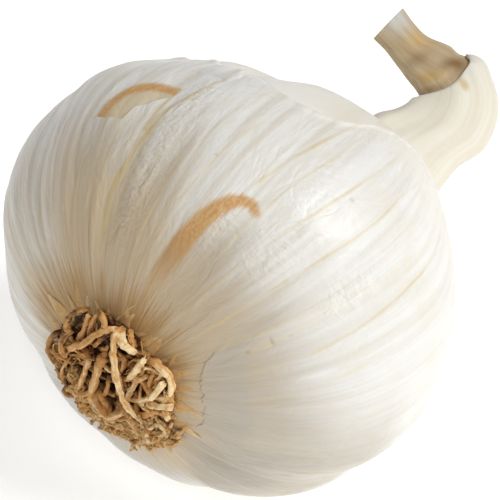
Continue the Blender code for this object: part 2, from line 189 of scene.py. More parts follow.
def folds(along, around):
    gain = smoothstep(*FOLDS_GROW, along)
    wave = 0.5 * np.sin(5.0 * around + 0.12 * along) + 0.5 * np.sin(8.0 * around - 0.07 * along + 1.3)
    return 1.0 + FOLD_DEPTH * gain * wave


def turned_axes(turn, lean):
    """Right and back directions of a plane turned about Z and leaned back."""
    right = (math.cos(turn), math.sin(turn), 0.0)
    return right, (math.sin(turn) * math.cos(lean), -math.cos(turn) * math.cos(lean), math.sin(lean))


CURL_RIGHT, CURL_BACK = np.array(turned_axes(CURL_TURN, CURL_LEAN))
CURL_UP = np.cross(CURL_BACK, CURL_RIGHT)


def body_sections(along, radius):
    """Centres and the two half-axes of round sections, one row each."""
    drift = smoothstep(*NECK_DRIFT, along)
    flat = np.zeros_like(along)
    return np.stack([
        along, NECK_OFFSET[0] * drift, NECK_OFFSET[1] * drift,
        flat, radius * math.cos(INNER_SIDE), radius * math.sin(INNER_SIDE),
        flat, -radius * math.sin(INNER_SIDE), radius * math.cos(INNER_SIDE),
    ], axis=-1)


def neck_knots():
    early = np.array([BODY_END - 6.0, BODY_END - 3.0, BODY_END])
    sections = list(body_sections(early, crown_radius(early)))
    for inner_edge, outer_edge, behind, half_thickness in NECK_STATIONS:
        inner, outer = np.array(inner_edge), np.array(outer_edge)
        middle, half = 0.5 * (inner + outer), 0.5 * (inner - outer)
        centre = middle[0] * CURL_RIGHT + middle[1] * CURL_UP - behind * CURL_BACK
        arm = half[0] * CURL_RIGHT + half[1] * CURL_UP
        sections.append(np.concatenate([centre, arm, half_thickness * CURL_BACK]))
    sections = np.array(sections)
    steps = np.linalg.norm(np.diff(sections[:, :3], axis=0), axis=1)
    return early[0] + np.concatenate([[0.0], np.cumsum(steps)]), sections


KNOT_PLACES, KNOT_SECTIONS = neck_knots()
TIP = KNOT_PLACES[-1]


def neck_sections(along):
    k = np.clip(np.searchsorted(KNOT_PLACES, along) - 1, 1, len(KNOT_PLACES) - 2)
    after = np.minimum(k + 2, len(KNOT_PLACES) - 1)
    low, high = KNOT_PLACES[k][..., None], KNOT_PLACES[k + 1][..., None]
    span = high - low
    t = (along[..., None] - low) / span
    at_low, at_high = KNOT_SECTIONS[k], KNOT_SECTIONS[k + 1]
    start = (at_high - KNOT_SECTIONS[k - 1]) / (high - KNOT_PLACES[k - 1][..., None]) * span
    finish = (KNOT_SECTIONS[after] - at_low) / (KNOT_PLACES[after][..., None] - low) * span
    return (
        (2 * t ** 3 - 3 * t ** 2 + 1) * at_low + (t ** 3 - 2 * t ** 2 + t) * start
        + (3 * t ** 2 - 2 * t ** 3) * at_high + (t ** 3 - t ** 2) * finish
    )


def surface(run, around, inset=0.0):
    """Points of the solids' own surface, in millimetres about the bulb's centre."""
    run, around = np.broadcast_arrays(np.asarray(run, float), np.asarray(around, float))
    on_neck = run > RUN_BODY
    along = np.where(on_neck, neck_distance(run), np.interp(run, RUN_TABLE, ALONG_TABLE))
    radius = np.interp(run, RUN_TABLE, RADIUS_TABLE)
    section = np.where(on_neck[..., None], neck_sections(along), body_sections(along, radius))
    turn = around - INNER_SIDE
    arm = section[..., 3:6] * np.cos(turn)[..., None] + section[..., 6:9] * np.sin(turn)[..., None]
    length = np.linalg.norm(arm, axis=-1)
    factor = lobes(along, around) * folds(along, around) - inset / length
    return section[..., 0:3] + arm * factor[..., None]


def outward(run, around):
    """Unit normals of the surface."""
    step_run, step_around = 0.2, 0.012
    ahead = surface(run + step_run, around) - surface(run - step_run, around)
    aside = surface(run, around + step_around) - surface(run, around - step_around)
    normal = np.cross(aside, ahead)
    return normal / np.linalg.norm(normal, axis=-1)[..., None]


def swelling(run, around):
    """Soft hollows and swellings of the skin that the solids leave out, in millimetres."""
    total = 0.0 * run * around
    for place, where, round_half, along_half, height in SWELLINGS:
        off = np.degrees(angle_between(around, math.radians(place))) / round_half
        total = total + height * np.exp(-off * off - ((run - where) / along_half) ** 2)
    return total


def lifted_surface(run, around, lift):
    lift = np.asarray(lift) + swelling(run, around)
    return surface(run, around) + outward(run, around) * lift[..., None]


def neck_distance(run):
    """Distance along the neck's axis for a run past the body."""
    return BODY_END + run - RUN_BODY


def mouth_run(around):
    """Run of the sheath's slanted mouth."""
    return RUN_BODY + MOUTH_MIDDLE - MOUTH_SLANT * np.cos(around - INNER_SIDE) - BODY_END


def body_middle(along):
    return body_sections(np.array([along]), np.array([1.0]))[0, :3]


def neck_middle(along):
    return neck_sections(np.array([along]))[0, :3]


def stand(points):
    """Millimetres about the bulb's centre to metres above the surface it rests on."""
    placed = np.array(points, float)
    placed[..., 2] = np.maximum(placed[..., 2] + AXIS_HEIGHT, LOWEST)
    return placed * MM


# Smooth random fields, periodic round the axis
def lattice(seed, cells_around, cells_along):
    return np.random.default_rng(seed).uniform(-1.0, 1.0, (cells_along, cells_around))


def field(table, around, run, cell_length):
    """Smooth noise on (angle, run) from a table of random values, one row per cell_length of run."""
    rows, columns = table.shape
    u = (around / (2.0 * math.pi) % 1.0) * columns
    v = np.clip(run / cell_length, 0.0, rows - 1.001)
    i, j = np.floor(v).astype(int), np.floor(u).astype(int) % columns
    a, b = v - i, u - np.floor(u)
    a, b = a * a * (3 - 2 * a), b * b * (3 - 2 * b)
    right, down = (j + 1) % columns, np.minimum(i + 1, rows - 1)
    top = table[i, j] * (1 - b) + table[i, right] * b
    low = table[down, j] * (1 - b) + table[down, right] * b
    return top * (1 - a) + low * a


def ragged(table, degrees, row=0.0):
    """Random unevenness along an edge, read at one row of a table."""
    return field(table, np.radians(degrees), row + 0.0 * degrees, 1.0)


# What lies where on the skin: angles in degrees, runs in millimetres

# Veins: the places that each one passes through, its strength and its half-width in millimetres
VEINS = (
    (((75, 13), (76.5, 22), (79, 28), (80, 33), (83, 36), (86, 40), (88, 43)), 0.85, 0.48),
    (((101.5, 11), (99, 18), (99.5, 24), (101, 31), (103, 37), (104, 42)), 0.45, 0.24),
    (((91, 12), (92.5, 20), (94, 28), (95.5, 34), (96.5, 39)), 0.45, 0.22),
    (((112, 28), (113.5, 33), (115, 37), (117, 44), (118.5, 50), (119, 55)), 0.75, 0.30),
    (((118, 19), (117.6, 26), (119, 33), (120.5, 39), (121, 46), (122, 52)), 0.50, 0.22),
    (((123.5, 10), (123.6, 17), (124.5, 24), (126.5, 31), (128, 37), (129.5, 44), (131, 52)), 0.55, 0.24),
    (
        ((134.2, 10), (134.3, 18), (134.6, 25), (136, 32), (136.6, 37), (136.4, 42), (138, 47), (139.5, 54)),
        0.60, 0.22,
    ),
    (((144, 17), (144.6, 23), (145.6, 28), (147.5, 33), (148, 38), (148.6, 46)), 0.30, 0.30),
    (
        ((156.8, 9), (156.6, 14), (155.6, 20), (154.6, 26), (153.6, 32), (153, 38), (152.6, 47), (153, 55)),
        0.62, 0.26,
    ),
    (((147, 14), (148, 18), (147.2, 23), (147.8, 29)), 0.28, 0.50),
    (((169, 12), (166, 20), (163.5, 27), (162.5, 31)), 0.34, 0.32),
    (((196, 14), (193, 20), (190, 27)), 0.30, 0.30),
    (((66.5, 31), (67.5, 38), (69, 44)), 0.28, 0.30),
    (((71, 9), (71.5, 14), (71.8, 29), (72, 35)), 0.40, 0.28),
    (((61, 10), (61.5, 18), (63.5, 26)), 0.30, 0.26),
    (((87, 44), (84.5, 35), (83.5, 29), (81, 20)), 0.25, 0.40),
    (((48, 33), (46, 24), (43, 16)), 0.20, 0.35),
    (((37, 44), (34, 32), (33, 20), (35, 9)), 0.35, 0.28),
    (((22, 46), (19, 34), (18, 22), (20, 10)), 0.40, 0.26),
)
RULED_VEINS = 34
RULED_VEIN_SECTOR = (172.0, 392.0)
# Millimetres that stand for no vein near, and for far outside every stain
NO_VEIN = 9.0
NO_STAIN = -5.0

# Lengthwise soft bands of painted shade on the skin, in its valleys and over its lower side: angle,
# half-width in degrees, runs of the two ends, strength (negative ones are painted highlights, paler than the
# skin round them)
SHADE_BANDS = (
    (47, 3.2, 16, 35, 0.55), (41, 2, 12, 30, 0.3), (52.5, 1.5, 9, 22, -0.55), (88.5, 2.2, 10, 22, 0.45),
    (63, 6.5, 9, 27.5, 0.42), (74, 1.8, 10, 25, 0.3), (83.5, 1.6, 12, 34, -0.35), (95.5, 1.3, 16, 42, -0.35),
    (116, 5, 9, 19, 0.42), (128, 3, 8, 19, 0.25), (57, 1.2, 17, 38, -0.3), (140.5, 1.4, 12, 22, 0.3),
    (181, 5, 9, 21, 0.25), (168, 2, 8, 17, 0.25), (111.5, 1.5, 30, 44, 0.22), (29, 2, 12, 36, 0.22),
    (35, 1.5, 10, 30, -0.2), (162, 1.3, 20, 42, -0.25), (207, 27, 3, 34, 0.75), (230, 16, 5, 26, 0.7),
    (20, 15, 8, 28, 0.45), (117, 6, 12, 26, 0.45), (92.5, 2.8, 15, 33, 0.62), (84.3, 3, 21, 44, -0.85),
    (126, 10, 29, 50, -0.5), (86, 6, 39, 50, -0.4), (91, 5, 35, 48, -0.45), (92.5, 5, 15, 26, 0.35),
)

# Patches crumpled across the fibres: angle, half-width in degrees, runs of the two ends, strength
CRUMPLED = (
    (85.5, 5, 13, 42, 1.0), (112.5, 3, 17, 28, 0.8), (126, 7, 18, 30, 0.6), (96, 3, 33, 44, 0.5),
    (63, 4, 27, 40, 0.3), (150, 14, 24, 44, 0.25), (145.5, 4, 23, 37, 0.75), (122, 4, 28, 42, 0.5),
)

# Small marks: angle, run, half-length round and along in millimetres, strength
MARKS = (
    (129.5, 36, 0.35, 0.35, 0.6), (100, 29.5, 0.35, 0.3, 0.5), (147.6, 18.8, 0.75, 0.28, 0.6),
    (148, 21, 0.3, 0.4, 0.4), (148.2, 15.6, 0.35, 0.55, 0.5), (139, 36, 0.25, 0.35, 0.35),
    (52.5, 32, 0.3, 0.25, 0.35), (197, 23, 0.5, 1.2, 0.35), (44, 9.5, 0.3, 0.3, 0.5),
)

# Orange stain at the edge of a torn window: quarter of an oval about (angle, run), with its half-axes
ARCH_CENTRE = (78.3, 29.3)
ARCH_SIZE = (14.6, 6.9)
ARCH_POWER = 2.5
ARCH_HALF_WIDTH = 0.62
ARCH_END = 78.6

# Orange-brown band and the hook at its top: places that its middle passes through, with half-widths
BAND_STAIN = (
    (104.4, 9.5, 0.55), (105.6, 14, 1.05), (106.6, 18.5, 1.25), (107.8, 22.3, 1.1), (109.2, 24.5, 0.92),
    (110.8, 26, 0.78), (112.8, 26.9, 0.64), (115, 27.2, 0.54), (117.2, 26.7, 0.42),
)

# The white skin's torn edge on the neck side, as (angle, run) places round the whole neck
SKIN_EDGE = (
    (0, 53.5), (20, 52), (45, 51), (62, 49.5), (76, 46.5), (84, 44.8), (90, 44), (97, 43.5), (105, 43.5),
    (110, 44.3), (115, 46.5), (118, 49), (121, 52.5), (126, 55.5), (134, 57.5), (146, 58.6), (160, 59),
    (180, 58), (205, 57), (235, 56), (270, 55), (305, 55.5), (335, 54.5), (360, 53.5),
)

# Where round the root end the skin is most browned, in degrees
BROWN_MIDDLE = 97.0

# Extra browning: angle, half-width in degrees, the runs that it fades between, strength
BROWNED = ((24.0, 26.0, 8.0, 15.5, 0.95), (248.0, 18.0, 9.0, 19.0, 0.65), (62.0, 18.0, 18.0, 38.0, 0.27))


def degrees_off(degrees, place):
    """The shorter way round from a place, in degrees."""
    return (degrees - place + 180.0) % 360.0 - 180.0


def degree_length(run):
    """Millimetres of skin in one degree round the axis."""
    return math.radians(1.0) * np.maximum(np.interp(run, RUN_TABLE, RADIUS_TABLE), 3.0)


def vein_places():
    """Listed veins, and fainter ruled ones on the sides that no vein was set for."""
    rng = random.Random(VEIN_SEED)
    veins = [(np.array(places, float), strength, width) for places, strength, width in VEINS]
    low, high = RULED_VEIN_SECTOR
    for number in range(RULED_VEINS):
        place = low + (high - low) * (number + rng.uniform(0.2, 0.8)) / RULED_VEINS
        first, last = rng.uniform(7.0, 22.0), rng.uniform(34.0, 56.0)
        sway = rng.uniform(-3.0, 3.0)
        runs = np.linspace(first, last, 7)
        angles = place + sway * (runs - first) / 40.0 + [rng.uniform(-0.6, 0.6) for _ in runs]
        veins.append((np.stack([angles, runs], axis=1), rng.uniform(0.1, 0.38), rng.uniform(0.2, 0.34)))
    return veins


VEIN_PLACES = vein_places()


def vein_field(run, degrees):
    """Signed distance to the nearest vein in millimetres, how strong it is there and its half-width."""
    nearest = np.full(run.shape, NO_VEIN)
    gain = np.zeros(run.shape)
    width = np.full(run.shape, 0.25)
    for places, strength, half_width in VEIN_PLACES:
        angles, runs = places[np.argsort(places[:, 1])].T
        off = degrees_off(degrees, np.interp(run, runs, angles)) * degree_length(run)
        here = strength * smoothstep(-1.5, 3.0, run - runs[0]) * smoothstep(-1.5, 3.0, runs[-1] - run)
        here = here * (1.0 - smoothstep(0.9, 1.5, np.abs(off)))
        closer = (np.abs(off) < np.abs(nearest)) & (here > 0.0)
        nearest = np.where(closer, off, nearest)
        gain = np.where(closer, here, gain)
        width = np.where(closer, half_width, width)
    return np.clip(nearest, -1.5, 1.5), gain, width


def window_distances(run, degrees):
    """Millimetres inside the window's orange edge stain, and inside the torn window itself."""
    across = np.clip((ARCH_CENTRE[0] - degrees) / ARCH_SIZE[0], 0.0, 3.0)
    past = run - ARCH_CENTRE[1]
    up = np.clip(past / ARCH_SIZE[1], 0.0, 3.0)
    level = (across ** ARCH_POWER + up ** ARCH_POWER) ** (1.0 / ARCH_POWER)
    end = (ARCH_END - degrees) * 0.45
    stain = ARCH_HALF_WIDTH - np.abs(level - 1.0) * ARCH_SIZE[1] * 0.92
    window = np.minimum((1.0 - level) * ARCH_SIZE[1], past)
    return np.minimum(np.minimum(stain, past + 0.1), end), np.minimum(window, end)


def band_stain_distance(run, degrees):
    """Millimetres inside the long orange-brown band and its hook; negative is outside them."""
    per_degree = degree_length(run)
    best = np.full(run.shape, NO_STAIN)
    for (a0, r0, w0), (a1, r1, w1) in zip(BAND_STAIN, BAND_STAIN[1:]):
        ax, ay = (degrees - a0) * per_degree, run - r0
        bx, by = (a1 - a0) * per_degree, r1 - r0
        t = np.clip((ax * bx + ay * by) / (bx * bx + by * by), 0.0, 1.0)
        best = np.maximum(best, w0 + (w1 - w0) * t - np.hypot(ax - t * bx, ay - t * by))
    return best


def shade_band_field(run, degrees):
    total = np.zeros(run.shape)
    for place, half, first, last, strength in SHADE_BANDS:
        ends = smoothstep(-3.0, 3.0, run - first) * smoothstep(-5.0, 5.0, last - run)
        total += strength * bell(degrees_off(degrees, place), 0.0, half) * ends
    return total


def mark_field(run, degrees):
    total = np.zeros(run.shape)
    for place, where, round_half, along_half, strength in MARKS:
        across = (degrees - place) * degree_length(run) / round_half
        total += strength * bell(np.hypot(across, (run - where) / along_half), 0.0, 1.0)
    return total


def crumpled(run, degrees):
    """How finely crumpled the skin is, from 0 to about 1."""
    total = 0.0 * run
    for place, half, first, last, strength in CRUMPLED:
        ends = smoothstep(first, first + 4.0, run) * smoothstep(-last, 5.0 - last, -run)
        total = total + strength * bell(degrees, place, half) * ends
    return total


CRINKLES = lattice(3, 150, 12)
FINE_CRINKLES = lattice(4, 260, 20)
RIDGES = lattice(5, 84, 9)
SOFT_WAVES = lattice(6, 36, 14)
RIPPLE = lattice(7, 110, 170)
CREASE_SWAY = lattice(8, 24, 10)
DEGREES_PER_RADIAN = 57.3


def relief(run, degrees):
    """Height of the skin's own crinkles over the smooth form, in millimetres."""
    sway = np.radians(1.6 * field(CREASE_SWAY, np.radians(degrees), run, 8.0))
    around = np.radians(degrees) + sway
    ridged = 1.0 - 2.2 * np.abs(field(RIDGES, around, run, 9.0))
    streaked = 0.2 + 0.8 * bell(degrees, 48.0, 44.0)
    calm = smoothstep(42.0, 52.0, run) * bell(degrees, 138.0, 34.0)
    height = 0.075 * streaked * np.clip(ridged, -0.6, 1.0)
    height = height + 0.060 * streaked * field(CRINKLES, around, run, 7.0)
    height = height + 0.018 * field(FINE_CRINKLES, around, run, 4.0)
    height = height + 0.10 * field(SOFT_WAVES, around, run, 6.0)
    swayed = run + 5.0 * sway * DEGREES_PER_RADIAN
    height = height + 0.055 * crumpled(run, degrees) * field(RIPPLE, around, swayed, 0.62)
    height = height - 0.10 * shade_band_field(run, degrees) - 0.08 * mark_field(run, degrees)
    return height * (0.35 + 0.65 * smoothstep(2.0, 9.0, run)) * (1.0 - 0.75 * calm)


def skin_facts(run, degrees, browning=1.0):
    """Values that the skin's material reads at each place."""
    arch, window = window_distances(run, degrees)
    stain = np.maximum(arch, band_stain_distance(run, degrees))
    zone = bell(degrees, BROWN_MIDDLE, np.where(degrees < BROWN_MIDDLE, 54.0, 72.0))
    reach = 46.0 - 19.0 * smoothstep(72.0, 118.0, degrees)
    brown = (0.20 + 0.72 * zone) * (1.0 - smoothstep(9.0, reach, run))
    brown = brown + (1.0 - smoothstep(5.0, 13.0, run)) * (0.5 + 0.2 * zone)
    for place, half, first, last, strength in BROWNED:
        brown = brown + strength * bell(degrees, place, half) * (1.0 - smoothstep(first, last, run))
    low_shade = bell(degrees, 150.0, 38.0) * (1.0 - smoothstep(6.0, 31.0, run))
    shade_bands = shade_band_field(run, degrees) + 1.2 * low_shade
    upward = np.radians(degrees) - math.pi / 2.0
    return {
        "place": np.stack([np.cos(upward), np.sin(upward), run * 0.01], axis=-1),
        "vein": np.stack(vein_field(run, degrees), axis=-1),
        "tint": np.stack([stain, window, browning * brown], axis=-1),
        "tone": np.stack([shade_bands, mark_field(run, degrees), crumpled(run, degrees)], axis=-1),
    }


# Meshes
def add_facts(mesh, facts):
    for name, values in facts.items():
        layer = mesh.attributes.new(name, "FLOAT_VECTOR", "POINT")
        layer.data.foreach_set("vector", np.ascontiguousarray(values, np.float32).reshape(-1))


def new_piece(name, points, faces, material, facts=None):
    mesh = bpy.data.meshes.new(name)
    mesh.from_pydata(np.asarray(points, float).reshape(-1, 3).tolist(), [], faces)
    mesh.update()
    if facts:
        add_facts(mesh, facts)
    mesh.shade_smooth()
    mesh.materials.append(material)
    item = bpy.data.objects.new(name, mesh)
    bpy.context.scene.collection.objects.link(item)
    return item


def closed_rings(rings, start_pole, end_pole):
    """Vertices and faces of a closed form through rings of points, with a pole at each end."""
    rows, columns = len(rings), rings[0].shape[0]
    points = np.concatenate([np.concatenate(rings), [start_pole, end_pole]])
    pole = rows * columns
    last = pole - columns
    faces, start_fan, end_fan = [], [], []
    for j in range(columns):
        n = (j + 1) % columns
        start_fan.append((pole, n, j))
        end_fan.append((last + j, last + n, pole + 1))
    for start in range(0, last, columns):
        for j in range(columns):
            a, b = start + j, start + (j + 1) % columns
            faces.append((a, b, b + columns, a + columns))
    return points, faces + start_fan + end_fan


def ring_piece(name, rings, poles, material, fact_rows):
    """Closed piece through rings of points; each pole takes the facts of a point of the ring beside it."""
    points, faces = closed_rings(rings, *poles)
    facts = {}
    for key in fact_rows[0]:
        values = np.concatenate([row[key] for row in fact_rows])
        facts[key] = np.concatenate([values, values[[0]], values[[-1]]])
    return new_piece(name, stand(points), faces, material, facts)


def shell_faces(rows, columns):
    """Quads of a thin sheet: its top, its underside and the rim that joins them."""
    top, under = [], []
    size = rows * columns
    for i in range(rows - 1):
        for j in range(columns - 1):
            a = i * columns + j
            quad = (a, a + 1, a + columns + 1, a + columns)
            top.append(quad)
            under.append(tuple(size + v for v in reversed(quad)))
    border = list(range(columns))
    border += [i * columns + columns - 1 for i in range(1, rows)]
    border += [(rows - 1) * columns + j for j in range(columns - 2, -1, -1)]
    border += [i * columns for i in range(rows - 2, 0, -1)]
    rim = [(b, a, size + a, size + b) for a, b in zip(border, border[1:] + border[:1])]
    return top + under + rim


# Materials
def srgb(red, green, blue):
    """Linear colour from 0 to 255 screen values."""
    def linear(value):
        value /= 255.0
        return value / 12.92 if value <= 0.04045 else ((value + 0.055) / 1.055) ** 2.4
    return (linear(red), linear(green), linear(blue), 1.0)


class Shader:
    """Short ways to add nodes to one material, and the colour that its layers build up."""

    def __init__(self, name, colour=None):
        self.material = bpy.data.materials.new(name)
        self.material.use_nodes = True
        self.tree = self.material.node_tree
        self.colour = colour

    def put(self, socket, value):
        if isinstance(value, bpy.types.NodeSocket):
            self.tree.links.new(value, socket)
        else:
            socket.default_value = value

    def node(self, kind, *values, **settings):
        """New node with its first inputs filled in."""
        made = self.tree.nodes.new(kind)
        for name, value in settings.items():
            setattr(made, name, value)
        for socket, value in zip(made.inputs, values):
            self.put(socket, value)
        return made

    def attribute(self, name):
        vector = self.node("ShaderNodeAttribute", attribute_name=name).outputs["Vector"]
        return tuple(self.node("ShaderNodeSeparateXYZ", vector).outputs)

    def math(self, operation, first, second=0.0):
        return self.node("ShaderNodeMath", first, second, operation=operation).outputs[0]

    def times(self, first, second):
        return self.math("MULTIPLY", first, second)

    def plus(self, first, second):
        return self.math("ADD", first, second)

    def swing(self, value, gain):
        """How far a noise is from its middle, times a gain."""
        return self.times(self.math("SUBTRACT", value, 0.5), gain)

    def total(self, *terms):
        """Sum of values, each times its own gain."""
        level = 0.0
        for value, gain in terms:
            level = self.plus(level, self.times(value, gain))
        return level

    def step(self, value, low, high, to_low=0.0, to_high=1.0):
        values = (value, low, high, to_low, to_high)
        return self.node("ShaderNodeMapRange", *values, interpolation_type="SMOOTHSTEP").outputs[0]

    def noise(self, vector, scale, detail, roughness, distortion=0.0):
        made = self.node("ShaderNodeTexNoise", vector)
        for name, value in (
            ("Scale", scale), ("Detail", detail), ("Roughness", roughness), ("Distortion", distortion),
        ):
            self.put(made.inputs[name], value)
        return made.outputs["Fac"]

    def fibres(self, place, round_scale, along_scale, detail, roughness, distortion=0.0):
        """Noise that follows the skin's fibres: its own scales round the axis and along it."""
        x, y, run = place
        sides = (self.times(x, round_scale), self.times(y, round_scale), self.times(run, along_scale))
        stretched = self.node("ShaderNodeCombineXYZ", *sides).outputs[0]
        return self.noise(stretched, 1.0, detail, roughness, distortion)

    def mix(self, factor, first, second):
        made = self.node("ShaderNodeMix", factor, data_type="RGBA")
        colours = [socket for socket in made.inputs if socket.type == "RGBA"]
        self.put(colours[0], first)
        self.put(colours[1], second)
        return [socket for socket in made.outputs if socket.type == "RGBA"][0]

    def layer(self, factor, colour):
        """Lays a colour over the ones below it."""
        self.colour = self.mix(factor, self.colour, colour)

    def finish(self, values, height=None, depth=0.0, strength=1.0):
        """Sets the surface's inputs, with its colour and bump, and gives the material."""
        inputs = self.tree.nodes["Principled BSDF"].inputs
        self.put(inputs["Base Color"], self.colour)
        for name, value in values.items():
            self.put(inputs[name], value)
        if height is not None:
            bump = self.node("ShaderNodeBump")
            for name, value in (("Strength", strength), ("Distance", depth), ("Height", height)):
                self.put(bump.inputs[name], value)
            self.put(inputs["Normal"], bump.outputs["Normal"])
        return self.material


DIAGONAL = 0.7071


def skin_material(name, paper, warm):
    """Papery skin: fine lengthwise fibres, yellow veins, browned root end, stains and a soft sheen."""
    s = Shader(name, paper)
    place = s.attribute("place")
    x, y, run = place
    vein_off, vein_gain, vein_width = s.attribute("vein")
    stain, window, brown = s.attribute("tint")
    shade_bands, marks, crumple = s.attribute("tone")

    fine = s.fibres(place, 150.0, 9.0, 3.0, 0.6)
    broad = s.fibres(place, 22.0, 4.0, 3.0, 0.55)
    cloud = s.fibres(place, 6.0, 18.0, 3.0, 0.55)
    grain = s.fibres(place, 60.0, 200.0, 2.0, 0.6)
    facet = s.math("ABSOLUTE", s.swing(s.fibres(place, 11.0, 20.0, 3.0, 0.5, 0.5), 2.0))
    crinkle = s.fibres(place, 20.0, 130.0, 2.0, 0.55, 0.3)
    streak = s.fibres(place, 55.0, 5.0, 2.0, 0.6)

    streaky = s.step(y, 0.55, 0.95, 1.0, 0.45)
    s.layer(s.times(s.step(broad, 0.35, 0.68), streaky), srgb(222, 218, 208))
    s.layer(s.step(fine, 0.5, 0.75, 0.0, 0.22), srgb(206, 196, 172))
    # Painted highlight: paler on the crests of the crumpled patches
    s.layer(s.times(s.times(s.step(crinkle, 0.5, 0.62), crumple), 0.45), srgb(246, 245, 240))
    s.layer(s.step(cloud, 0.45, 0.75, 0.0, 0.35), warm)
    # Painted shade where the shade bands are positive, painted highlight where they are negative
    s.layer(s.step(shade_bands, 0.05, 0.9, 0.0, 0.75), srgb(180, 168, 148))
    s.layer(s.step(s.times(shade_bands, -1.0), 0.05, 0.6, 0.0, 0.6), srgb(246, 246, 244))

    near_neck = s.times(s.plus(x, y), DIAGONAL)
    near_neck = s.times(s.step(near_neck, 0.6, 0.92), s.step(run, 0.43, 0.55, 0.0, 0.92))
    s.layer(near_neck, srgb(235, 231, 220))
    # Painted shade: greyer on the downward-facing side near the root end
    underside_shade = s.step(s.times(s.math("SUBTRACT", y, x), DIAGONAL), 0.80, 1.0, 0.0, 0.75)
    underside_shade = s.math("MAXIMUM", underside_shade, s.step(x, -0.85, -0.35, 0.65, 0.0))
    s.layer(s.times(underside_shade, s.step(run, 0.13, 0.25, 1.0, 0.0)), srgb(152, 145, 135))

    s.layer(s.step(s.plus(brown, s.swing(broad, 0.55)), 0.0, 0.9, 0.0, 0.9), srgb(200, 180, 148))
    s.layer(s.step(brown, 0.7, 1.5, 0.0, 0.6), srgb(190, 162, 120))
    s.layer(s.step(s.plus(brown, s.swing(streak, 2.4)), 0.95, 1.6, 0.0, 0.85), srgb(180, 140, 80))
    s.layer(s.step(window, -0.05, 0.15, 0.0, 0.75), srgb(214, 196, 158))

    off = s.plus(s.math("ABSOLUTE", vein_off), s.swing(grain, 0.12))
    line = s.step(s.math("DIVIDE", off, vein_width), 0.25, 1.25, 1.0, 0.0)
    line = s.times(line, s.times(vein_gain, s.step(broad, 0.2, 0.6, 0.6, 1.0)))
    shown = s.times(s.step(cloud, 0.32, 0.66, 0.3, 1.0), s.step(near_neck, 0.1, 0.8, 1.0, 0.15))
    shown = s.times(shown, s.step(run, 0.36, 0.50, 1.0, 0.5))
    s.layer(s.times(line, shown), s.mix(vein_gain, srgb(240, 229, 190), srgb(208, 179, 108)))

    uneven = s.plus(s.plus(stain, s.swing(fine, 0.9)), s.swing(grain, 0.5))
    orange = s.mix(s.step(grain, 0.35, 0.65), srgb(200, 150, 88), srgb(214, 172, 114))
    orange = s.mix(s.step(run, 0.15, 0.23), srgb(188, 148, 96), orange)
    s.layer(s.times(s.step(uneven, -0.45, 0.35, 0.0, 0.95), s.step(run, 0.085, 0.195, 0.25, 1.0)), orange)
    s.layer(s.step(marks, 0.1, 0.8, 0.0, 0.7), srgb(168, 134, 92))

    height = s.total(
        (s.total((fine, 0.09), (broad, 0.25)), streaky), (line, 0.12), (grain, 0.10), (facet, 0.75),
        (s.times(crinkle, crumple), 1.5),
    )
    return s.finish({
        "Roughness": s.step(facet, 0.0, 0.5, 0.34, 0.52), "Specular IOR Level": 0.42,
        "Sheen Weight": 0.04, "Sheen Roughness": 0.45, "Subsurface Weight": 0.12,
        "Subsurface Radius": (1.0, 0.8, 0.55), "Subsurface Scale": 0.0015,
    }, height, 0.0003, 0.8)


def sheath_material(name):
    """Cream neck sheath: smooth and waxy, with faint lengthwise fibres."""
    s = Shader(name)
    place = s.attribute("place")
    x, y, run = place
    shade, marks, cream = s.attribute("tone")
    fine = s.fibres(place, 26.0, 6.0, 3.0, 0.6)
    broad = s.fibres(place, 7.0, 5.0, 2.0, 0.5)
    s.colour = s.mix(s.step(broad, 0.3, 0.7), srgb(233, 229, 217), srgb(227, 220, 203))
    s.layer(s.step(fine, 0.5, 0.8, 0.0, 0.2), srgb(222, 211, 184))
    s.colour = s.mix(cream, srgb(243, 241, 235), s.colour)
    # Painted light: the sheath is paler near its mouth on the side from about 25 to 120 degrees round,
    # lifting the shade of its folds there
    inner = s.times(s.step(y, -0.2, 0.5, 1.0, 0.0), s.step(x, 0.4, 0.9))
    s.layer(s.times(s.times(inner, s.step(run, 0.80, 0.88)), 0.75), srgb(250, 245, 231))
    s.layer(s.step(shade, 0.05, 1.0, 0.0, 0.8), srgb(198, 192, 182))
    s.layer(s.step(marks, 0.1, 0.9, 0.0, 0.7), srgb(196, 168, 116))
    return s.finish({
        "Roughness": s.step(fine, 0.3, 0.7, 0.45, 0.6), "Specular IOR Level": 0.35, "Sheen Weight": 0.08,
        "Subsurface Weight": 0.25, "Subsurface Radius": (1.0, 0.8, 0.5), "Subsurface Scale": 0.002,
    }, s.plus(s.times(fine, 0.5), broad), 0.00012, 0.6)


def stalk_material(name):
    """Dry inner stalk: tan, blotched with ochre and grey, matt."""
    s = Shader(name)
    place = s.attribute("place")
    dark, ochre, pale = s.attribute("tone")
    fine = s.fibres(place, 22.0, 14.0, 4.0, 0.6)
    broad = s.fibres(place, 3.0, 14.0, 3.0, 0.5)
    s.colour = s.mix(s.step(broad, 0.3, 0.7), srgb(204, 186, 156), srgb(190, 168, 134))
    s.layer(s.step(fine, 0.5, 0.75, 0.0, 0.3), srgb(172, 146, 108))
    s.layer(ochre, srgb(206, 172, 112))
    s.layer(pale, srgb(204, 203, 198))
    s.layer(dark, srgb(134, 104, 66))
    return s.finish({
        "Roughness": s.step(fine, 0.3, 0.7, 0.6, 0.8), "Specular IOR Level": 0.25,
        "Subsurface Weight": 0.1, "Subsurface Radius": (1.0, 0.6, 0.3), "Subsurface Scale": 0.001,
    }, s.plus(s.times(fine, 0.6), broad), 0.0003, 0.8)


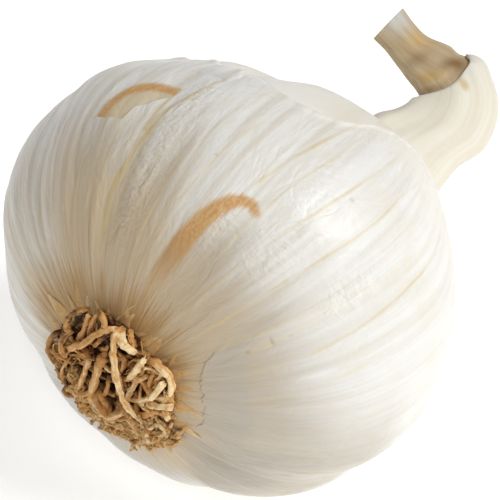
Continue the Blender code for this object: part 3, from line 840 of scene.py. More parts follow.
def root_material(name, deep, middle, high):
    """Dry roots and root skin: painted shade low among the roots, tan higher up, painted highlights on ridge
    crests, and pale cut ends brightened further as painted highlight; rough.
    """
    s = Shader(name)
    place = s.node("ShaderNodeAttribute", attribute_name="place").outputs["Vector"]
    exposed, end, chance = s.attribute("tone")
    spots = s.noise(place, 2400.0, 4.0, 0.62)
    blotch = s.noise(place, 700.0, 3.0, 0.55)
    level = s.plus(s.plus(exposed, s.swing(blotch, 1.1)), s.swing(chance, 0.35))
    # The deep colour at low levels is painted shade among and under the roots; the high colour is part pale
    # root, part painted highlight
    s.colour = s.mix(s.step(level, 0.0, 0.6), deep, middle)
    s.layer(s.step(level, 0.65, 1.1), high)
    s.layer(s.step(spots, 0.55, 0.75, 0.0, 0.5), deep)
    # Pale cut ends, brightened further as painted highlight
    s.layer(s.step(s.plus(end, s.times(blotch, 0.4)), 0.75, 1.15, 0.0, 0.85), srgb(252, 234, 196))
    return s.finish(
        {"Roughness": s.step(spots, 0.3, 0.7, 0.62, 0.85), "Specular IOR Level": 0.3},
        s.plus(s.times(spots, 0.6), blotch), 0.0003, 0.9,
    )


WRAPPER = skin_material("papery_wrapper", srgb(238, 238, 235), srgb(228, 220, 202))
SHEATH = sheath_material("neck_sheath")
STALK = stalk_material("dry_stalk")
# deep is mostly painted shade between the roots; high is partly painted highlight
ROOTS = root_material("dry_roots", srgb(66, 32, 13), srgb(216, 162, 96), srgb(252, 226, 176))
TATTER_SKIN = root_material("root_skin", srgb(158, 112, 60), srgb(211, 171, 113), srgb(232, 208, 164))


# White skin over the cloves
SKIN_SIDES = 560
SKIN_RINGS = 166
SKIN_START = 2.0
SKIN_LIFT = 0.12
EDGE_CURL = 0.42
CURL_REACH = 1.1
RAGGED = lattice(11, 90, 2)
RAGGED_FINE = lattice(12, 260, 2)


def skin_edge(degrees):
    uneven = 0.35 * ragged(RAGGED, degrees) + 0.12 * ragged(RAGGED_FINE, degrees)
    places, runs = np.array(SKIN_EDGE, float).T
    return np.interp(degrees % 360.0, places, runs) + uneven * (1.0 - 0.6 * bell(degrees, 105.0, 18.0))


def build_skin():
    degrees = np.arange(SKIN_SIDES) * 360.0 / SKIN_SIDES
    around = np.radians(degrees)
    edge = skin_edge(degrees)
    wave = 0.5 + 0.5 * ragged(RAGGED, degrees, 0.9)
    curl = EDGE_CURL * wave * (1.0 - 0.85 * bell(degrees, 122.0, 40.0))
    flush = bell(degrees, 120.0, 34.0)
    rings, facts = [], []
    for share in np.linspace(0.0, 1.0, SKIN_RINGS):
        run = SKIN_START + share * (edge - SKIN_START)
        to_edge = edge - run
        lift = SKIN_LIFT + relief(run, degrees) + curl * bell(to_edge, 0.0, CURL_REACH)
        settled = 0.30 * bell(to_edge, CURL_REACH, 0.6) - 0.5 * (1.0 - smoothstep(0.0, 1.0, to_edge))
        rings.append(lifted_surface(run, around, lift + flush * settled))
        facts.append(skin_facts(run, degrees))
        # Painted highlight: the skin is made paler over the last millimetre or so before its torn edge
        facts[-1]["tone"][:, 0] -= 0.7 * bell(to_edge, 0.0, 0.9)
    for back, drop in ((0.15, 0.18), (1.2, 0.55), (2.5, 0.8)):
        run = edge - back
        lift = SKIN_LIFT + curl * bell(back, 0.0, CURL_REACH) - drop - 0.5 * flush
        rings.append(lifted_surface(run, around, lift))
        facts.append(skin_facts(run, degrees))
    start_pole = np.array([DISH_PLANE + 0.2, 0.0, 0.0])
    return ring_piece("bulb_skin", rings, (start_pole, body_middle(26.0)), WRAPPER, facts)


# Cream neck sheath
SHEATH_SIDES = 320
SHEATH_RINGS = 150
SHEATH_START = 41.0
NECK_FIELDS_START = 38.0
NECK_FINE = lattice(15, 46, 12)
NECK_BROAD = lattice(16, 17, 9)
CREASE_REACH = 3.0
CREASE_PASSES = 90
# Sheath's inside, as distances back from the mouth and insets
INNER_WALL = ((0.6, SHEATH_WALL), (1.2, SHEATH_WALL), (POCKET_DEPTH, SHEATH_WALL))


def sheath_relief(run, around):
    """Height of the sheath over the smooth form: soft folds, and a web of skin inside the bend."""
    grow = smoothstep(46.0, 58.0, run)
    along = neck_distance(run)
    past = run - NECK_FIELDS_START
    folded = 0.20 * field(NECK_BROAD, around, past, 9.0) + 0.04 * field(NECK_FINE, around, past, 7.0)
    softened = folded - 3.0 * (folds(along, around) - 1.0)
    web = 0.7 * np.exp(-(angle_between(around, INNER_SIDE) / 0.6) ** 2 - ((along - 40.0) / 6.0) ** 2)
    return grow * softened + (1.0 - grow) * 0.5 * relief(run, np.degrees(around)) + web


def sheath_facts(run, degrees, shade=0.0):
    facts = skin_facts(run, degrees)
    mark = bell(degrees, 136.0, 8.0) * bell(run - RUN_BODY, 20.2, 1.0)
    strip = bell(degrees, 50.0, 15.0) * smoothstep(81.0, 85.0, run) * smoothstep(-97.0, -92.0, -run)
    cream = np.maximum(smoothstep(47.0, 60.0, run), smoothstep(100.0, 116.0, degrees))
    facts["tone"] = np.stack([shade + 0.9 * strip, mark, cream], axis=-1)
    return facts


def eased_crease(points, run):
    """Rings of points with the crease between body and neck rubbed out."""
    weight = 0.5 * bell(run, RUN_BODY, CREASE_REACH)[1:-1, :, None]
    for _ in range(CREASE_PASSES):
        points[1:-1] += weight * (0.5 * (points[:-2] + points[2:]) - points[1:-1])
    return points


def build_sheath():
    degrees = np.arange(SHEATH_SIDES) * 360.0 / SHEATH_SIDES
    around = np.radians(degrees)
    mouth = mouth_run(around)
    edge = skin_edge(degrees)
    rings, facts, runs = [], [], []
    for share in np.linspace(0.0, 1.0, SHEATH_RINGS):
        run = SHEATH_START + share * (mouth - SHEATH_START)
        runs.append(run)
        under = 1.0 - smoothstep(-1.0, 0.6, run - edge)
        lift = sheath_relief(run, around) - 0.25 * under - 0.16 * smoothstep(-0.5, 0.0, run - mouth)
        rings.append(lifted_surface(run, around, lift))
        facts.append(sheath_facts(run, degrees))
    rings = list(eased_crease(np.stack(rings), np.stack(runs)))
    for back, inset in ((-0.1, 0.3), (0.0, 0.46)) + INNER_WALL:
        run = mouth - back
        rings.append(surface(run, around, inset))
        facts.append(sheath_facts(run, degrees, 0.15))
    poles = (body_middle(16.0), neck_middle(MOUTH_MIDDLE - POCKET_DEPTH))
    return ring_piece("neck_sheath", rings, poles, SHEATH, facts)


# Dry inner stalk
STALK_SIDES = 160
STALK_RINGS = 96
STALK_FIELDS_START = 66.0
STALK_FINE = lattice(18, 30, 14)
STALK_BROAD = lattice(19, 9, 8)
# Blotches on the stalk: angle, distance along the axis, half-width in degrees, half-length, tone, strength
STALK_SPOTS = (
    (146, 54.2, 26, 1.5, "dark", 1.0), (94, 53.6, 24, 1.5, "ochre", 0.8), (112, 57.8, 34, 1.3, "dark", 0.5),
    (162, 60.2, 34, 1.7, "ochre", 0.8), (152, 64.2, 44, 2.0, "pale", 1.0), (300, 60.5, 30, 1.6, "dark", 1.0),
)


def stalk_facts(run, degrees):
    facts = skin_facts(run, degrees)
    tones = {kind: np.zeros_like(run) for kind in ("dark", "ochre", "pale")}
    for place, where, half, length, kind, strength in STALK_SPOTS:
        spot = bell(degrees_off(degrees, place), 0.0, half) * bell(neck_distance(run), where, length)
        tones[kind] += strength * spot
    facts["tone"] = np.clip(np.stack(list(tones.values()), axis=-1), 0.0, 1.0)
    return facts


def build_stalk():
    degrees = np.arange(STALK_SIDES) * 360.0 / STALK_SIDES
    around = np.radians(degrees)
    mouth = mouth_run(around)
    tip = RUN_BODY + TIP - BODY_END
    start = mouth - (POCKET_DEPTH - POCKET_CLEARANCE)
    rings, facts = [], []
    for share in np.linspace(0.0, 1.0, STALK_RINGS):
        run = start + share * (tip - start)
        out = smoothstep(GAP, STALK_FILLS_OUT, run - mouth)
        past = run - STALK_FIELDS_START
        wave = 0.22 * field(STALK_BROAD, around, past, 3.4) + 0.12 * field(STALK_FINE, around, past, 3.0)
        rings.append(surface(run, around, (SHEATH_WALL + GAP) * (1.0 - out) - out * wave))
        facts.append(stalk_facts(run, degrees))
    flat = np.zeros(STALK_SIDES) + tip
    for inset, back in ((0.25, -0.02), (0.6, 0.25), (1.2, 0.5)):
        rings.append(surface(flat - back, around, inset))
        facts.append(stalk_facts(flat, degrees))
    poles = (neck_middle(MOUTH_MIDDLE - POCKET_DEPTH + POCKET_CLEARANCE), neck_middle(TIP - 0.6))
    return ring_piece("inner_stalk", rings, poles, STALK, facts)


# Loose layers of skin
def build_layer(
    name, angles, low, high, shape, browning, rows, columns, thickness, pale=0.0, stained=True,
):
    """Thin sheet over the skin: low and high give its runs for an angle; shape gives how far it stands off
    the skin and how deep its hidden borders sink."""
    u = np.linspace(0.0, 1.0, columns)[None, :]
    v = np.linspace(0.0, 1.0, rows)[:, None]
    degrees = angles[0] + (angles[1] - angles[0]) * u + 0.0 * v
    run = low(degrees) + (high(degrees) - low(degrees)) * v
    around = np.radians(degrees)
    stand_off, sink = shape(u, v)
    base = SKIN_LIFT + relief(run, degrees) + stand_off * (1.0 - sink) - 0.35 * sink
    sides = [lifted_surface(run, around, base + rise).reshape(-1, 3) for rise in (thickness, 0.0)]
    facts = skin_facts(run, degrees, browning + (1.0 - browning) * smoothstep(0.0, 0.75, sink))
    # Painted light: pale lowers the shade bands, so a loose sheet is paler where it stands free of the skin
    facts["tone"][..., 0] -= pale * (1.0 - sink)
    if not stained:
        facts["tint"][..., :2] = NO_STAIN
    facts = {key: np.concatenate([value.reshape(-1, 3)] * 2) for key, value in facts.items()}
    return new_piece(name, stand(np.concatenate(sides)), shell_faces(rows, columns), WRAPPER, facts)


def table_line(table):
    """Function that reads a run off a table of (angle, run) places."""
    places, runs = np.array(table, float).T
    return lambda degrees: np.interp(degrees, places, runs)


def sunk_borders(u, v, fades):
    """How deep a layer's hidden borders sink: its two sides, and the end where v is one."""
    first, last, end = fades
    shown = smoothstep(0.0, first, u) * (1.0 - smoothstep(last, 1.0, u))
    return 1.0 - shown * (1.0 - smoothstep(end, 1.0, v))


FLAP_EDGE = table_line((
    (138, 15.6), (140, 13.8), (144, 11.6), (148, 10), (153, 9), (158, 8.4), (168, 8.1), (181, 8),
    (186, 8.5), (194, 7.7), (204, 7.2),
))
LIP_EDGE = table_line(((57, 27.5), (61, 29.3), (67, 29.5), (70.8, 29.8), (72, 31.8), (76, 33.6), (79, 36.2)))
TOP_EDGE = table_line(((73, 44.6), (77, 46.6), (79.5, 47.7), (82, 47.2), (85, 45.2), (88, 43), (90, 41.6)))
FLAP_RAGGED = lattice(23, 200, 2)


def build_flap_right():
    """Outer wrapper's free edge beside the root plate."""
    def low(degrees):
        return FLAP_EDGE(degrees) + 0.25 * ragged(FLAP_RAGGED, degrees)

    def high(degrees):
        return FLAP_EDGE(degrees) + 12.0

    def shape(u, v):
        return 0.02 + 0.04 * np.exp(-(v * 14.0) ** 2), sunk_borders(u, v, (0.12, 0.70, 0.30))
    return build_layer("wrapper_flap", (138.0, 210.0), low, high, shape, 0.6, 70, 240, 0.04)


def build_window_lip():
    """Torn lip of the wrapper below the window that the orange arch frames."""
    def high(degrees):
        return LIP_EDGE(degrees) + 0.2 * ragged(FLAP_RAGGED, degrees, 0.5)

    def shape(u, v):
        return 0.06 + 0.20 * np.exp(-((1.0 - v) * 9.0) ** 2), sunk_borders(u, 1.0 - v, (0.2, 0.85, 0.4))
    return build_layer(
        "window_lip", (57.0, 79.0), lambda d: 18.0 + 0.0 * d, high, shape, 1.0, 80, 100, 0.10, stained=False)


def build_top_flap():
    """Small scrap of the outer wrapper on the upper side, torn free towards the neck."""
    first, last = 73.0, 90.0

    def high(degrees):
        return TOP_EDGE(degrees) + 0.25 * ragged(FLAP_RAGGED, degrees, 0.2)

    def shape(u, v):
        rise = 0.15 + 0.2 * smoothstep(78.0, 84.0, first + (last - first) * u)
        return 0.05 + np.exp(-((1.0 - v) * 3.0) ** 2) * rise, sunk_borders(u, 1.0 - v, (0.35, 0.8, 0.5))
    # Painted light: the scrap is painted paler (pale of 1.2) than the skin round it
    return build_layer(
        "top_flap", (first, last), lambda d: 38.5 + 0.0 * d, high, shape, 0.0, 60, 90, 0.08, 1.2)


# Root end
def skin_height(radius):
    outline = 1.0 - (radius / (SKIN_FULLEST * BULB_RADIUS)) ** ROOT_FULLNESS
    return DISH_PLANE + ROOT_DEPTH * outline ** (1.0 / ROOT_FULLNESS)


def root_point(height, y, z):
    """Point at a height outwards from the dish's rim plane."""
    return np.array([DISH_PLANE - height, y, z])


def on_plate(radius, around):
    return radius * math.cos(around), radius * math.sin(around)


def step_on(y, z, heading, stride):
    return y + stride * math.cos(heading), z + stride * math.sin(heading)


def kept_within(y, z, limit):
    """Place drawn in to a largest radius, with the radius that it ends at."""
    away = math.hypot(y, z)
    kept = min(away, limit)
    return y * (kept / away), z * (kept / away), kept


def smooth_path(points, pieces):
    points = np.array(points)
    padded = np.vstack([2 * points[0] - points[1], points, 2 * points[-1] - points[-2]])
    path = []
    for k in range(1, len(padded) - 2):
        a, b, c, d = padded[k - 1:k + 3]
        for t in np.arange(pieces) / pieces:
            path.append(0.5 * (2 * b + (c - a) * t + (2 * a - 5 * b + 4 * c - d) * t ** 2
                               + (3 * b - a - 3 * c + d) * t ** 3))
    path.append(points[-1])
    return np.array(path)


def lifted(radius, height, clearance):
    if radius < PLATE_RADIUS - RIM_WIDTH:
        return height
    return max(height, skin_height(radius) + clearance)


def root_clearance(thickness):
    return 1.15 * thickness + GAP + 0.2


def route_points(places, clearance):
    """Points through (radius, angle, height) places, lifted clear of the skin."""
    return [root_point(lifted(r, h, clearance), *on_plate(r, math.radians(a))) for r, a, h in places]


def ruled_root_points(rng, number):
    """The solids' own rule for a short curled stub: its points and its thickness."""
    share = (number + 0.5) / RULED_ROOTS
    start_radius = (PLATE_RADIUS - RIM_WIDTH) * math.sqrt(share)
    around = number * math.pi * (3.0 - math.sqrt(5.0)) + rng.uniform(-0.15, 0.15)
    heading = around + math.radians(rng.choice((-1, 1)) * rng.uniform(5.0, 105.0) * (1.2 - 0.5 * share))
    bend = math.radians(rng.uniform(-38.0, 38.0))
    reach = rng.uniform(1.0, 1.7)
    rise = rng.uniform(0.7, 1.5)
    y, z = on_plate(start_radius, around)
    height = PLATE_TOP - SUNK
    thickness = ROOT_STUB_RADIUS * rng.uniform(0.85, 1.15)
    points = [root_point(height, y, z)]
    for step, step_rise in enumerate(STEP_RISES):
        y, z = step_on(y, z, heading, reach * (0.25 if step == 0 else 1.0))
        y, z, kept = kept_within(y, z, MAT_RADIUS)
        height = lifted(kept, height + rise * step_rise, root_clearance(thickness))
        heading += bend + math.radians(rng.uniform(-22.0, 22.0))
        points.append(root_point(height, y, z))
    return points, thickness


class Gather:
    """Collects closed forms into one piece."""

    def __init__(self):
        self.points, self.faces, self.tones, self.count = [], [], [], 0

    def add(self, points, faces, tones):
        self.points.append(points)
        self.tones.append(tones)
        self.faces += [tuple(self.count + v for v in face) for face in faces]
        self.count += len(points)

    def add_root(self, points, pieces, *shape):
        self.add(*root_tube(smooth_path(points, pieces), *shape))

    def piece(self, name, material):
        placed = stand(np.concatenate(self.points))
        facts = {"place": placed, "tone": np.concatenate(self.tones)}
        return new_piece(name, placed, self.faces, material, facts)


def unit(vector):
    return vector / np.linalg.norm(vector)


def root_tube(path, thickness, sides, draw, pale_end_and_highlight=1.0, wrinkle=1.0):
    """Dry root along a path: flattened, ridged lengthwise, knobbly, with a cut end."""
    count = len(path)
    phases = [draw.uniform(0.0, 2.0 * math.pi) for _ in range(2)]
    kinks = np.array([[draw.uniform(-1.0, 1.0) for _ in range(3)] for _ in range(count)])
    path = path + (0.2 * wrinkle * thickness) * kinks
    squash = draw.uniform(0.72, 0.98)
    twist = draw.uniform(-1.2, 1.2)
    knobs = np.array([draw.uniform(-1.0, 1.0) for _ in range(count)])
    knobs = np.convolve(knobs, [0.25, 0.5, 0.25], mode="same")
    angles = np.arange(sides) * 2.0 * math.pi / sides
    side = np.cross(path[1] - path[0], (0.31, 0.52, 0.79))
    rings, ridge_light_and_shade = [], []
    for k, point in enumerate(path):
        ahead = unit(path[min(k + 1, count - 1)] - path[max(k - 1, 0)])
        side = unit(side - ahead * np.dot(side, ahead))
        across = np.cross(ahead, side)
        share = k / (count - 1)
        width = thickness * (1.14 - 0.22 * share) * (1.0 + 0.30 * wrinkle * knobs[k])
        turned = angles + twist * share
        wave = 0.11 * np.cos(3 * turned + phases[0]) + 0.09 * np.cos(5 * turned + phases[1] + 2.0 * share)
        ridges = 1.0 + wrinkle * wave
        ridge_light_and_shade.append((ridges - 1.0) * 0.6)
        flat = (width * ridges * np.cos(turned))[:, None] * side
        rings.append(point + flat + (width * ridges * squash * np.sin(turned))[:, None] * across)
    ahead = unit(path[-1] - path[-2])
    uneven = np.array([draw.uniform(-0.12, 0.12) for _ in angles])
    rings[-1] = rings[-1] + uneven[:, None] * ahead
    rings.append(path[-1] + (rings[-1] - path[-1]) * 0.6 - ahead * 0.08)
    points, faces = closed_rings(rings, path[0], path[-1] - ahead * 0.16)
    x, y, z = points.T
    # Painted light and shade in the tone: darker low down among the roots, paler high up and further out,
    # paler on ridge crests and darker in the grooves. It also grows darker towards +Y and +Z across the mat.
    buried = smoothstep(0.6, 3.2, DISH_PLANE - x)
    exposed = np.maximum(0.85 * buried, 0.60 * smoothstep(7.5, 10.0, np.hypot(y, z)))
    exposed[:count * sides] += np.concatenate(ridge_light_and_shade)
    exposed = exposed - 0.018 * (y + 2.5)
    exposed = exposed - 0.24 * smoothstep(1.0, 6.0, z) * smoothstep(-4.0, 1.0, y)
    # Pale cut ends, brightened further as painted highlight
    ends = np.full(len(points), pale_end_and_highlight * 0.55)
    paling = pale_end_and_highlight * smoothstep(0.82, 1.0, np.arange(count) / (count - 1)) * 0.75
    ends[:count * sides] = np.repeat(paling, sides)
    ends[-2] = 0.0
    chance = np.full(len(points), draw.uniform(0.0, 1.0))
    return points, faces, np.stack([exposed, ends, chance], axis=-1)


# Slimmer roots seen from the photo's side: a thickness, then (radius, angle, height) places
SLIM_ROOTS = (
    (0.50, (4.0, 78, 2.0), (2.8, 68, 3.0), (2.0, 345, 3.2), (5.5, 305, 2.6), (7.7, 298, 1.8)),
    (0.34, (4.7, 31, 2.0), (3.4, 32, 3.0), (4.3, 341, 2.8), (7.4, 317, 2.2), (10.2, 310, 1.4)),
    (0.36, (6.6, 22, 1.0), (8.0, 38, 2.6), (9.4, 54, 3.0), (10.0, 63, 2.6), (9.7, 68, 1.6)),
    (0.40, (7.7, 42, 2.4), (7.6, 29, 3.0), (7.4, 14, 3.0), (7.0, 359, 2.4)),
    (0.33, (6.5, 16, 1.2), (6.8, 55, 2.6), (8.8, 72, 3.2), (10.0, 76, 3.0)),
    (0.33, (5.5, 39, 1.0), (8.0, 73, 2.8), (10.2, 83, 3.4), (10.8, 85, 3.0)),
    (0.36, (5.9, 63, 1.2), (9.3, 90, 3.0), (10.9, 91, 3.3), (11.0, 84, 2.4)),
    (0.42, (5.2, 146, 1.6), (3.7, 163, 2.4), (3.0, 216, 2.2), (4.4, 256, 1.4)),
    (0.46, (4.3, 307, 1.8), (4.2, 287, 2.6), (5.2, 274, 2.6), (6.6, 271, 2.0)),
    (0.40, (5.7, 243, 1.4), (5.9, 214, 2.0), (6.9, 193, 2.2), (7.8, 197, 1.6)),
    (0.34, (8.5, 165, 1.6), (9.3, 168, 2.2), (8.6, 180, 2.0)),
    (0.40, (7.1, 88, 1.4), (7.0, 85, 2.6), (5.4, 70, 2.8)),
    (0.36, (4.3, 97, 1.0), (4.3, 117, 2.0), (1.4, 136, 1.6)),
    (0.30, (5.3, 165, 1.2), (8.8, 148, 2.4), (10.3, 142, 2.4)),
    (0.34, (6.7, 359, 1.2), (7.1, 351, 2.4), (8.2, 339, 2.6), (9.3, 326, 2.0)),
    (0.32, (9.8, 296, 1.2), (8.6, 303, 2.2), (10.2, 304, 2.0), (10.9, 298, 1.4)),
    (0.36, (5.3, 184, 1.4), (7.5, 171, 2.2), (9.5, 163, 2.4)),
)
LONG_ROOT_SLIM = 0.84
RULED_ROOT_SLIM = (0.48, 0.82)
RULED_ROOT_LOW = 0.55
EXTRA_STUBS = 90
EXTRA_STUBS_REACH = 9.2
GOLDEN_TURN = 2.399963
HAIRS = 60
HAIRS_REACH = 9.0
MAT_FIBRES = 480
MAT_SECTOR = (212.0, 345.0)
# Radius past which the bulb's skin, not the plate, lies under the roots
SKIN_FROM = 7.0
# Dark hollows between the larger roots: place on the plate and reach
HOLLOWS = ((5.0, 5.8, 1.9), (-1.2, 3.4, 1.0), (-3.2, -0.2, 1.0), (0.7, -4.8, 0.9))


def in_hollow(points):
    """Whether a root crosses one of the mat's open hollows."""
    return any(
        math.hypot(point[1] - y, point[2] - z) < reach for y, z, reach in HOLLOWS for point in points)


def build_roots():
    """Cut and curled roots over the plate."""
    rng = random.Random(SOLIDS_SEED)
    draw = random.Random(STUB_SEED)
    gather = Gather()
    base = DISH_PLANE - PLATE_TOP
    for number in range(RULED_ROOTS):
        points, thickness = ruled_root_points(rng, number)
        points = np.array(points)
        straight = np.linspace(points[0], points[-1], len(points))
        points = points + (straight - points) * draw.uniform(0.1, 0.6)
        points[:, 0] = base + (points[:, 0] - base) * (0.2 if in_hollow(points) else RULED_ROOT_LOW)
        slim = thickness * draw.uniform(*RULED_ROOT_SLIM)
        gather.add_root(points, 5, slim, 12, draw, draw.uniform(0.0, 0.8))
    for (radius, degrees, height), *rest in LONG_ROOTS:
        points = [root_point(height, *on_plate(radius, math.radians(degrees)))]
        points += route_points(rest, root_clearance(ROOT_STUB_RADIUS))
        gather.add_root(points, 6, ROOT_STUB_RADIUS * LONG_ROOT_SLIM, 14, draw, 1.0, 1.1)
    for thickness, *places in SLIM_ROOTS:
        gather.add_root(route_points(places, thickness), 6, thickness, 12, draw, draw.uniform(0.3, 1.0), 1.1)
    return gather.piece("root_stubs", ROOTS), rng


def add_broken_stubs(gather, draw):
    for number in range(EXTRA_STUBS):
        radius = EXTRA_STUBS_REACH * math.sqrt((number + 0.5) / EXTRA_STUBS)
        around = number * GOLDEN_TURN + draw.uniform(-0.3, 0.3)
        y, z = on_plate(radius, around)
        heading = around + draw.choice((-1, 1)) * draw.uniform(0.4 + 0.1 * radius, 2.2)
        height = PLATE_TOP - 0.4 if radius < PLATE_RADIUS else skin_height(radius) + 0.35
        points = [root_point(height, y, z)]
        stride = draw.uniform(0.35, 0.8)
        thickness = draw.uniform(0.16, 0.42)
        for _ in range(4):
            y, z = step_on(y, z, heading, stride)
            y, z, kept = kept_within(y, z, 9.9)
            height += draw.uniform(-0.1, 0.75)
            height = max(height, skin_height(kept) + 0.3) if kept > SKIN_FROM else height
            heading += draw.uniform(-0.8, 0.8)
            points.append(root_point(height, y, z))
        tube = root_tube(smooth_path(points, 3), thickness, 8, draw, 0.3)
        if not in_hollow(points):
            gather.add(*tube)


def add_hairs(gather, draw):
    for _ in range(HAIRS):
        around = draw.uniform(0.0, 2.0 * math.pi)
        y, z = on_plate(draw.uniform(3.0, 9.6), around)
        heading = around + draw.uniform(-1.2, 1.2)
        height = draw.uniform(1.0, 3.0)
        points = []
        for _ in range(5):
            y, z, kept = kept_within(y, z, HAIRS_REACH)
            floor = skin_height(kept) + 0.3 if kept > SKIN_FROM else 0.8
            points.append(root_point(max(height, floor), y, z))
            y, z = step_on(y, z, heading, 0.7)
            heading += draw.uniform(-0.7, 0.7)
            height += draw.uniform(-0.5, 0.4)
        tube = root_tube(smooth_path(points, 2), draw.uniform(0.05, 0.10), 5, draw, 0.2, 0.4)
        if not in_hollow(points):
            gather.add(*tube)


def add_fibres(gather, draw):
    for _ in range(MAT_FIBRES):
        around = math.radians(draw.uniform(*MAT_SECTOR))
        radius = draw.uniform(6.4, 11.2)
        heading = around + draw.choice((-1, 1)) * draw.uniform(1.0, 2.1)
        reach = max(radius, draw.uniform(9.0, 11.4))
        rise = draw.uniform(0.2, 1.6) * (1.0 - 0.5 * smoothstep(8.5, 11.4, radius))
        height = skin_height(max(radius, SKIN_FROM)) + rise
        y, z = on_plate(radius, around)
        points = []
        for _ in range(6):
            points.append(root_point(height, y, z))
            y, z = step_on(y, z, heading, 0.5)
            y, z, kept = kept_within(y, z, reach)
            heading += draw.uniform(-1.0, 1.0)
            height = max(height + draw.uniform(-0.4, 0.35), skin_height(max(kept, SKIN_FROM)) + 0.2)
        gather.add_root(points, 3, draw.uniform(0.14, 0.32), 7, draw, 0.3, 1.2)


def build_root_mat():
    """Small broken roots and hairs that fill the mat between the larger ones."""
    draw = random.Random(MAT_SEED)
    gather, fibres = Gather(), Gather()
    add_broken_stubs(gather, draw)
    add_fibres(fibres, draw)
    add_hairs(gather, draw)
    return gather.piece("root_mat", ROOTS), fibres.piece("root_fibres", TATTER_SKIN)


PLATE_SIDES = 120
PLATE_RINGS = 26


def build_plate():
    """Basal plate under the roots, a low rough disc."""
    around = np.arange(PLATE_SIDES) * 2.0 * math.pi / PLATE_SIDES
    bumps = lattice(51, 26, 14)
    fine = lattice(52, 70, 40)
    profile = [(0.4 * PLATE_RADIUS, -0.2), (PLATE_RADIUS, -0.2)]
    for turn in np.linspace(-0.7, 1.57, 7):
        profile.append((PLATE_RADIUS + math.cos(turn), PLATE_TOP - 0.55 + 0.55 * math.sin(turn)))
    for radius in np.linspace(PLATE_RADIUS - 0.5, 0.5, PLATE_RINGS - 9):
        profile.append((radius, PLATE_TOP - 0.35 * (1.0 - radius / PLATE_RADIUS)))
    rings = []
    for number, (radius, height) in enumerate(profile):
        rough = 0.0 if number < 2 else 1.0
        level = np.zeros(PLATE_SIDES) + number
        bump = 0.45 * field(bumps, around, level, 2.0) + 0.22 * field(fine, around, level, 1.0)
        r = radius * (1.0 + 0.03 * rough * field(bumps, around, level, 1.3))
        x = DISH_PLANE - height - rough * bump
        rings.append(np.stack([x, r * np.cos(around), r * np.sin(around)], axis=-1))
    points, faces = closed_rings(rings, root_point(-0.2, 0.0, 0.0), root_point(PLATE_TOP - 0.3, 0.0, 0.0))
    # The plate takes mostly the deepest root colour: its own brown and painted shade under the roots
    shown = 0.25 * smoothstep(0.6, 1.8, DISH_PLANE - points[:, 0])
    gather = Gather()
    gather.add(points, faces, np.stack([shown, 0.0 * shown, 0.5 + 0.0 * shown], axis=-1))
    return gather.piece("basal_plate", ROOTS)


TATTER_ROWS = 12
TATTER_COLUMNS = 5
TATTER_THICKNESS = 0.035
EXTRA_TATTERS = 30
# Larger scraps: angle, reach, half-width, how far the tip curls up
LARGE_TATTERS = (
    (10, 12.4, 1.0, 0.0), (26, 12.8, 1.1, 0.0), (44, 12.0, 0.9, 0.2), (205, 12.6, 1.3, 0.2),
    (216, 12.0, 1.2, 0.8), (228, 12.0, 1.5, 1.3), (238, 11.8, 1.1, 1.5), (247, 12.0, 1.4, 1.0),
    (259, 11.8, 1.2, 1.2), (271, 12.0, 1.3, 0.8), (284, 11.8, 1.2, 1.0), (297, 11.9, 1.4, 0.8),
    (309, 11.8, 1.1, 1.1), (322, 11.9, 1.2, 0.7), (337, 12.0, 1.0, 0.4),
)


def tatter_sheet(around, tip, width, lift, lean, draw, start=TATTER_START, curl=0.0):
    """Pointed scrap of dry skin that runs out from the plate and lies on the bulb's skin."""
    jag = np.array([draw.uniform(-0.18, 0.18) for _ in range(TATTER_ROWS)])[:, None]
    curl = curl + draw.choice((0.0, 0.0, 0.0, 0.2)) * draw.random()
    sway = draw.uniform(-0.10, 0.10)
    share = np.linspace(0.0, 1.0, TATTER_ROWS)[:, None]
    across = np.linspace(-1.0, 1.0, TATTER_COLUMNS)[None, :]
    radius = start + share * (tip - start) + 0.0 * across
    half = width * (1.0 - share ** 2.2) * (1.0 + jag) + 0.03
    turned = around + lean * (radius - start) / 4.0 + sway * share ** 2 + across * half / radius
    run = np.interp(radius, RADIUS_TABLE[:MERIDIAN_STEPS], RUN_TABLE[:MERIDIAN_STEPS])
    rise = SKIN_LIFT + relief(run, np.degrees(turned) % 360.0) + 0.03 + 0.1 * lift
    rise = rise - 0.16 * share + curl * share ** 3 + 0.05 * (1.0 - across ** 2)
    on_skin = smoothstep(PLATE_RADIUS, PLATE_RADIUS + 1.6, radius)[..., None]
    sheets = []
    for step in (TATTER_THICKNESS, 0.0):
        level = DISH_PLANE - PLATE_TOP + 0.3 - 0.4 * lift - step + 0.0 * radius
        over_plate = np.stack([level, radius * np.cos(turned), radius * np.sin(turned)], axis=-1)
        over_skin = lifted_surface(run, turned, rise + step)
        sheets.append((over_plate + on_skin * (over_skin - over_plate)).reshape(-1, 3))
    exposed = (0.15 + 0.85 * share + 0.0 * across).reshape(-1)
    tones = np.stack([exposed, 0.25 * draw.random() * exposed, draw.random() + 0.0 * exposed], axis=-1)
    return np.concatenate(sheets), shell_faces(TATTER_ROWS, TATTER_COLUMNS), np.concatenate([tones, tones])


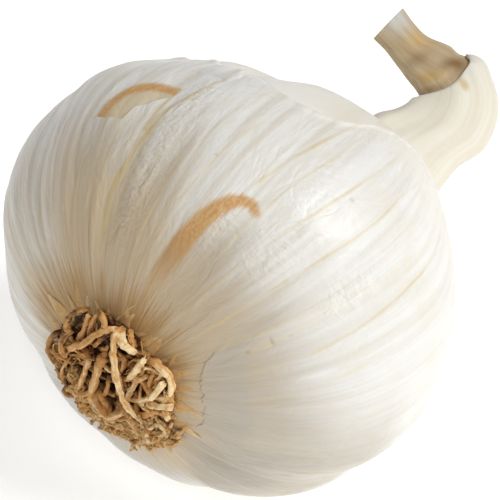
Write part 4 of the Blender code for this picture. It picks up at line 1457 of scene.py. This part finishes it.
def build_tatters(rng):
    """Scraps by the solids' own rule, smaller ones between them and the larger ones of the table."""
    draw = random.Random(TATTER_SEED)
    gather = Gather()
    for number in range(TATTERS):
        around = 2.0 * math.pi * (number + rng.uniform(-0.3, 0.3)) / TATTERS
        tip, width, lift = rng.uniform(10.6, 13.4), rng.uniform(0.55, 0.95), rng.uniform(0.0, 0.22)
        lean = math.radians(rng.uniform(-6.0, 6.0))
        gather.add(*tatter_sheet(around, tip, width, lift, lean, draw))
    for number in range(EXTRA_TATTERS):
        around = 2.0 * math.pi * (number + draw.uniform(-0.5, 0.5)) / EXTRA_TATTERS
        tip, width, lift = draw.uniform(9.6, 12.6), draw.uniform(0.18, 0.5), draw.uniform(-0.15, 0.35)
        lean = math.radians(draw.uniform(-16.0, 16.0))
        gather.add(*tatter_sheet(around, tip, width, lift, lean, draw, draw.uniform(7.4, 9.0)))
    for degrees, tip, width, curl in LARGE_TATTERS:
        gather.add(*tatter_sheet(math.radians(degrees), tip, width, 0.3, 0.0, draw, 7.0, curl))
    return gather.piece("root_tatters", TATTER_SKIN)


# Floor, light and camera
PHOTO_SIZE = 500
PHOTO_SCALE = 7.846
CAMERA_DISTANCE = 270.0
CAMERA_TURN = math.radians(-53.54)
CAMERA_RISE = math.radians(42.08)
CAMERA_SHIFT = (0.0488, 0.0512)
SENSOR = 36.0
FLOOR_HALF = 1.6
CENTRE = Vector((0.0, 0.0, AXIS_HEIGHT * MM))
RIGHT, BACK = (Vector(axis) for axis in turned_axes(CAMERA_TURN, CAMERA_RISE))
UP = BACK.cross(RIGHT)


def build_floor():
    s = Shader("pale_floor")
    soft = s.noise(s.node("ShaderNodeTexCoord").outputs["Object"], 3.0, 2.0, 0.5)
    s.colour = s.mix(soft, srgb(249, 249, 249), srgb(246, 246, 246))
    material = s.finish({
        "Roughness": 0.9, "Specular IOR Level": 0.1,
        "Emission Color": (1.0, 1.0, 1.0, 1.0), "Emission Strength": 0.46,
    })
    corners = [(FLOOR_HALF * x, FLOOR_HALF * y, 0.0) for x, y in ((-1, -1), (1, -1), (1, 1), (-1, 1))]
    floor = new_piece("floor", corners, [(0, 1, 2, 3)], material)


def aim(item, place, target):
    item.location = place
    item.rotation_euler = (Vector(target) - Vector(place)).to_track_quat("-Z", "Y").to_euler()


def area_light(name, direction, distance, size, energy, colour):
    data = bpy.data.lights.new(name, "AREA")
    data.shape = "DISK"
    data.size = size
    data.energy = energy
    data.color = colour
    item = bpy.data.objects.new(name, data)
    bpy.context.scene.collection.objects.link(item)
    toward = (direction[0] * RIGHT + direction[1] * UP + direction[2] * BACK).normalized()
    aim(item, CENTRE + toward * distance, CENTRE)


def build_lights():
    world = bpy.data.worlds.new("studio")
    world.use_nodes = True
    background = world.node_tree.nodes["Background"]
    background.inputs["Color"].default_value = (1.0, 0.975, 0.94, 1.0)
    background.inputs["Strength"].default_value = 0.275
    bpy.context.scene.world = world
    area_light("key", (0.56, 0.42, 0.72), 1.30, 0.60, 10.1, (1.0, 0.998, 0.99))
    area_light("fill", (-0.02, 0.22, 0.97), 1.10, 0.16, 1.6, (1.0, 0.985, 0.96))


def build_camera():
    data = bpy.data.cameras.new("camera")
    data.sensor_width = SENSOR
    data.lens = SENSOR * PHOTO_SCALE * CAMERA_DISTANCE / PHOTO_SIZE
    data.shift_x, data.shift_y = CAMERA_SHIFT
    data.clip_start = 0.01
    camera = bpy.data.objects.new("camera", data)
    bpy.context.scene.collection.objects.link(camera)
    turned = Matrix((RIGHT, UP, BACK)).transposed().to_4x4()
    camera.matrix_world = Matrix.Translation(CENTRE + BACK * CAMERA_DISTANCE * MM) @ turned
    bpy.context.scene.camera = camera


# The whole bulb
skin = build_skin()
sheath = build_sheath()
stalk = build_stalk()
flap_right = build_flap_right()
window_lip = build_window_lip()
top_flap = build_top_flap()
root_stubs, root_draws = build_roots()
tatters = build_tatters(root_draws)
root_mat, root_fibres = build_root_mat()
plate = build_plate()

for piece in (skin, sheath, flap_right, window_lip, top_flap):
    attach(piece, "root")
for piece in (root_stubs, tatters, root_mat, root_fibres, plate):
    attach(piece, "root")
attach(stalk, "root")
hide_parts("head")
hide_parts("dry_neck")
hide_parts("root_plate")

build_floor()
build_lights()
build_camera()
bpy.context.scene.view_settings.view_transform = "Standard"
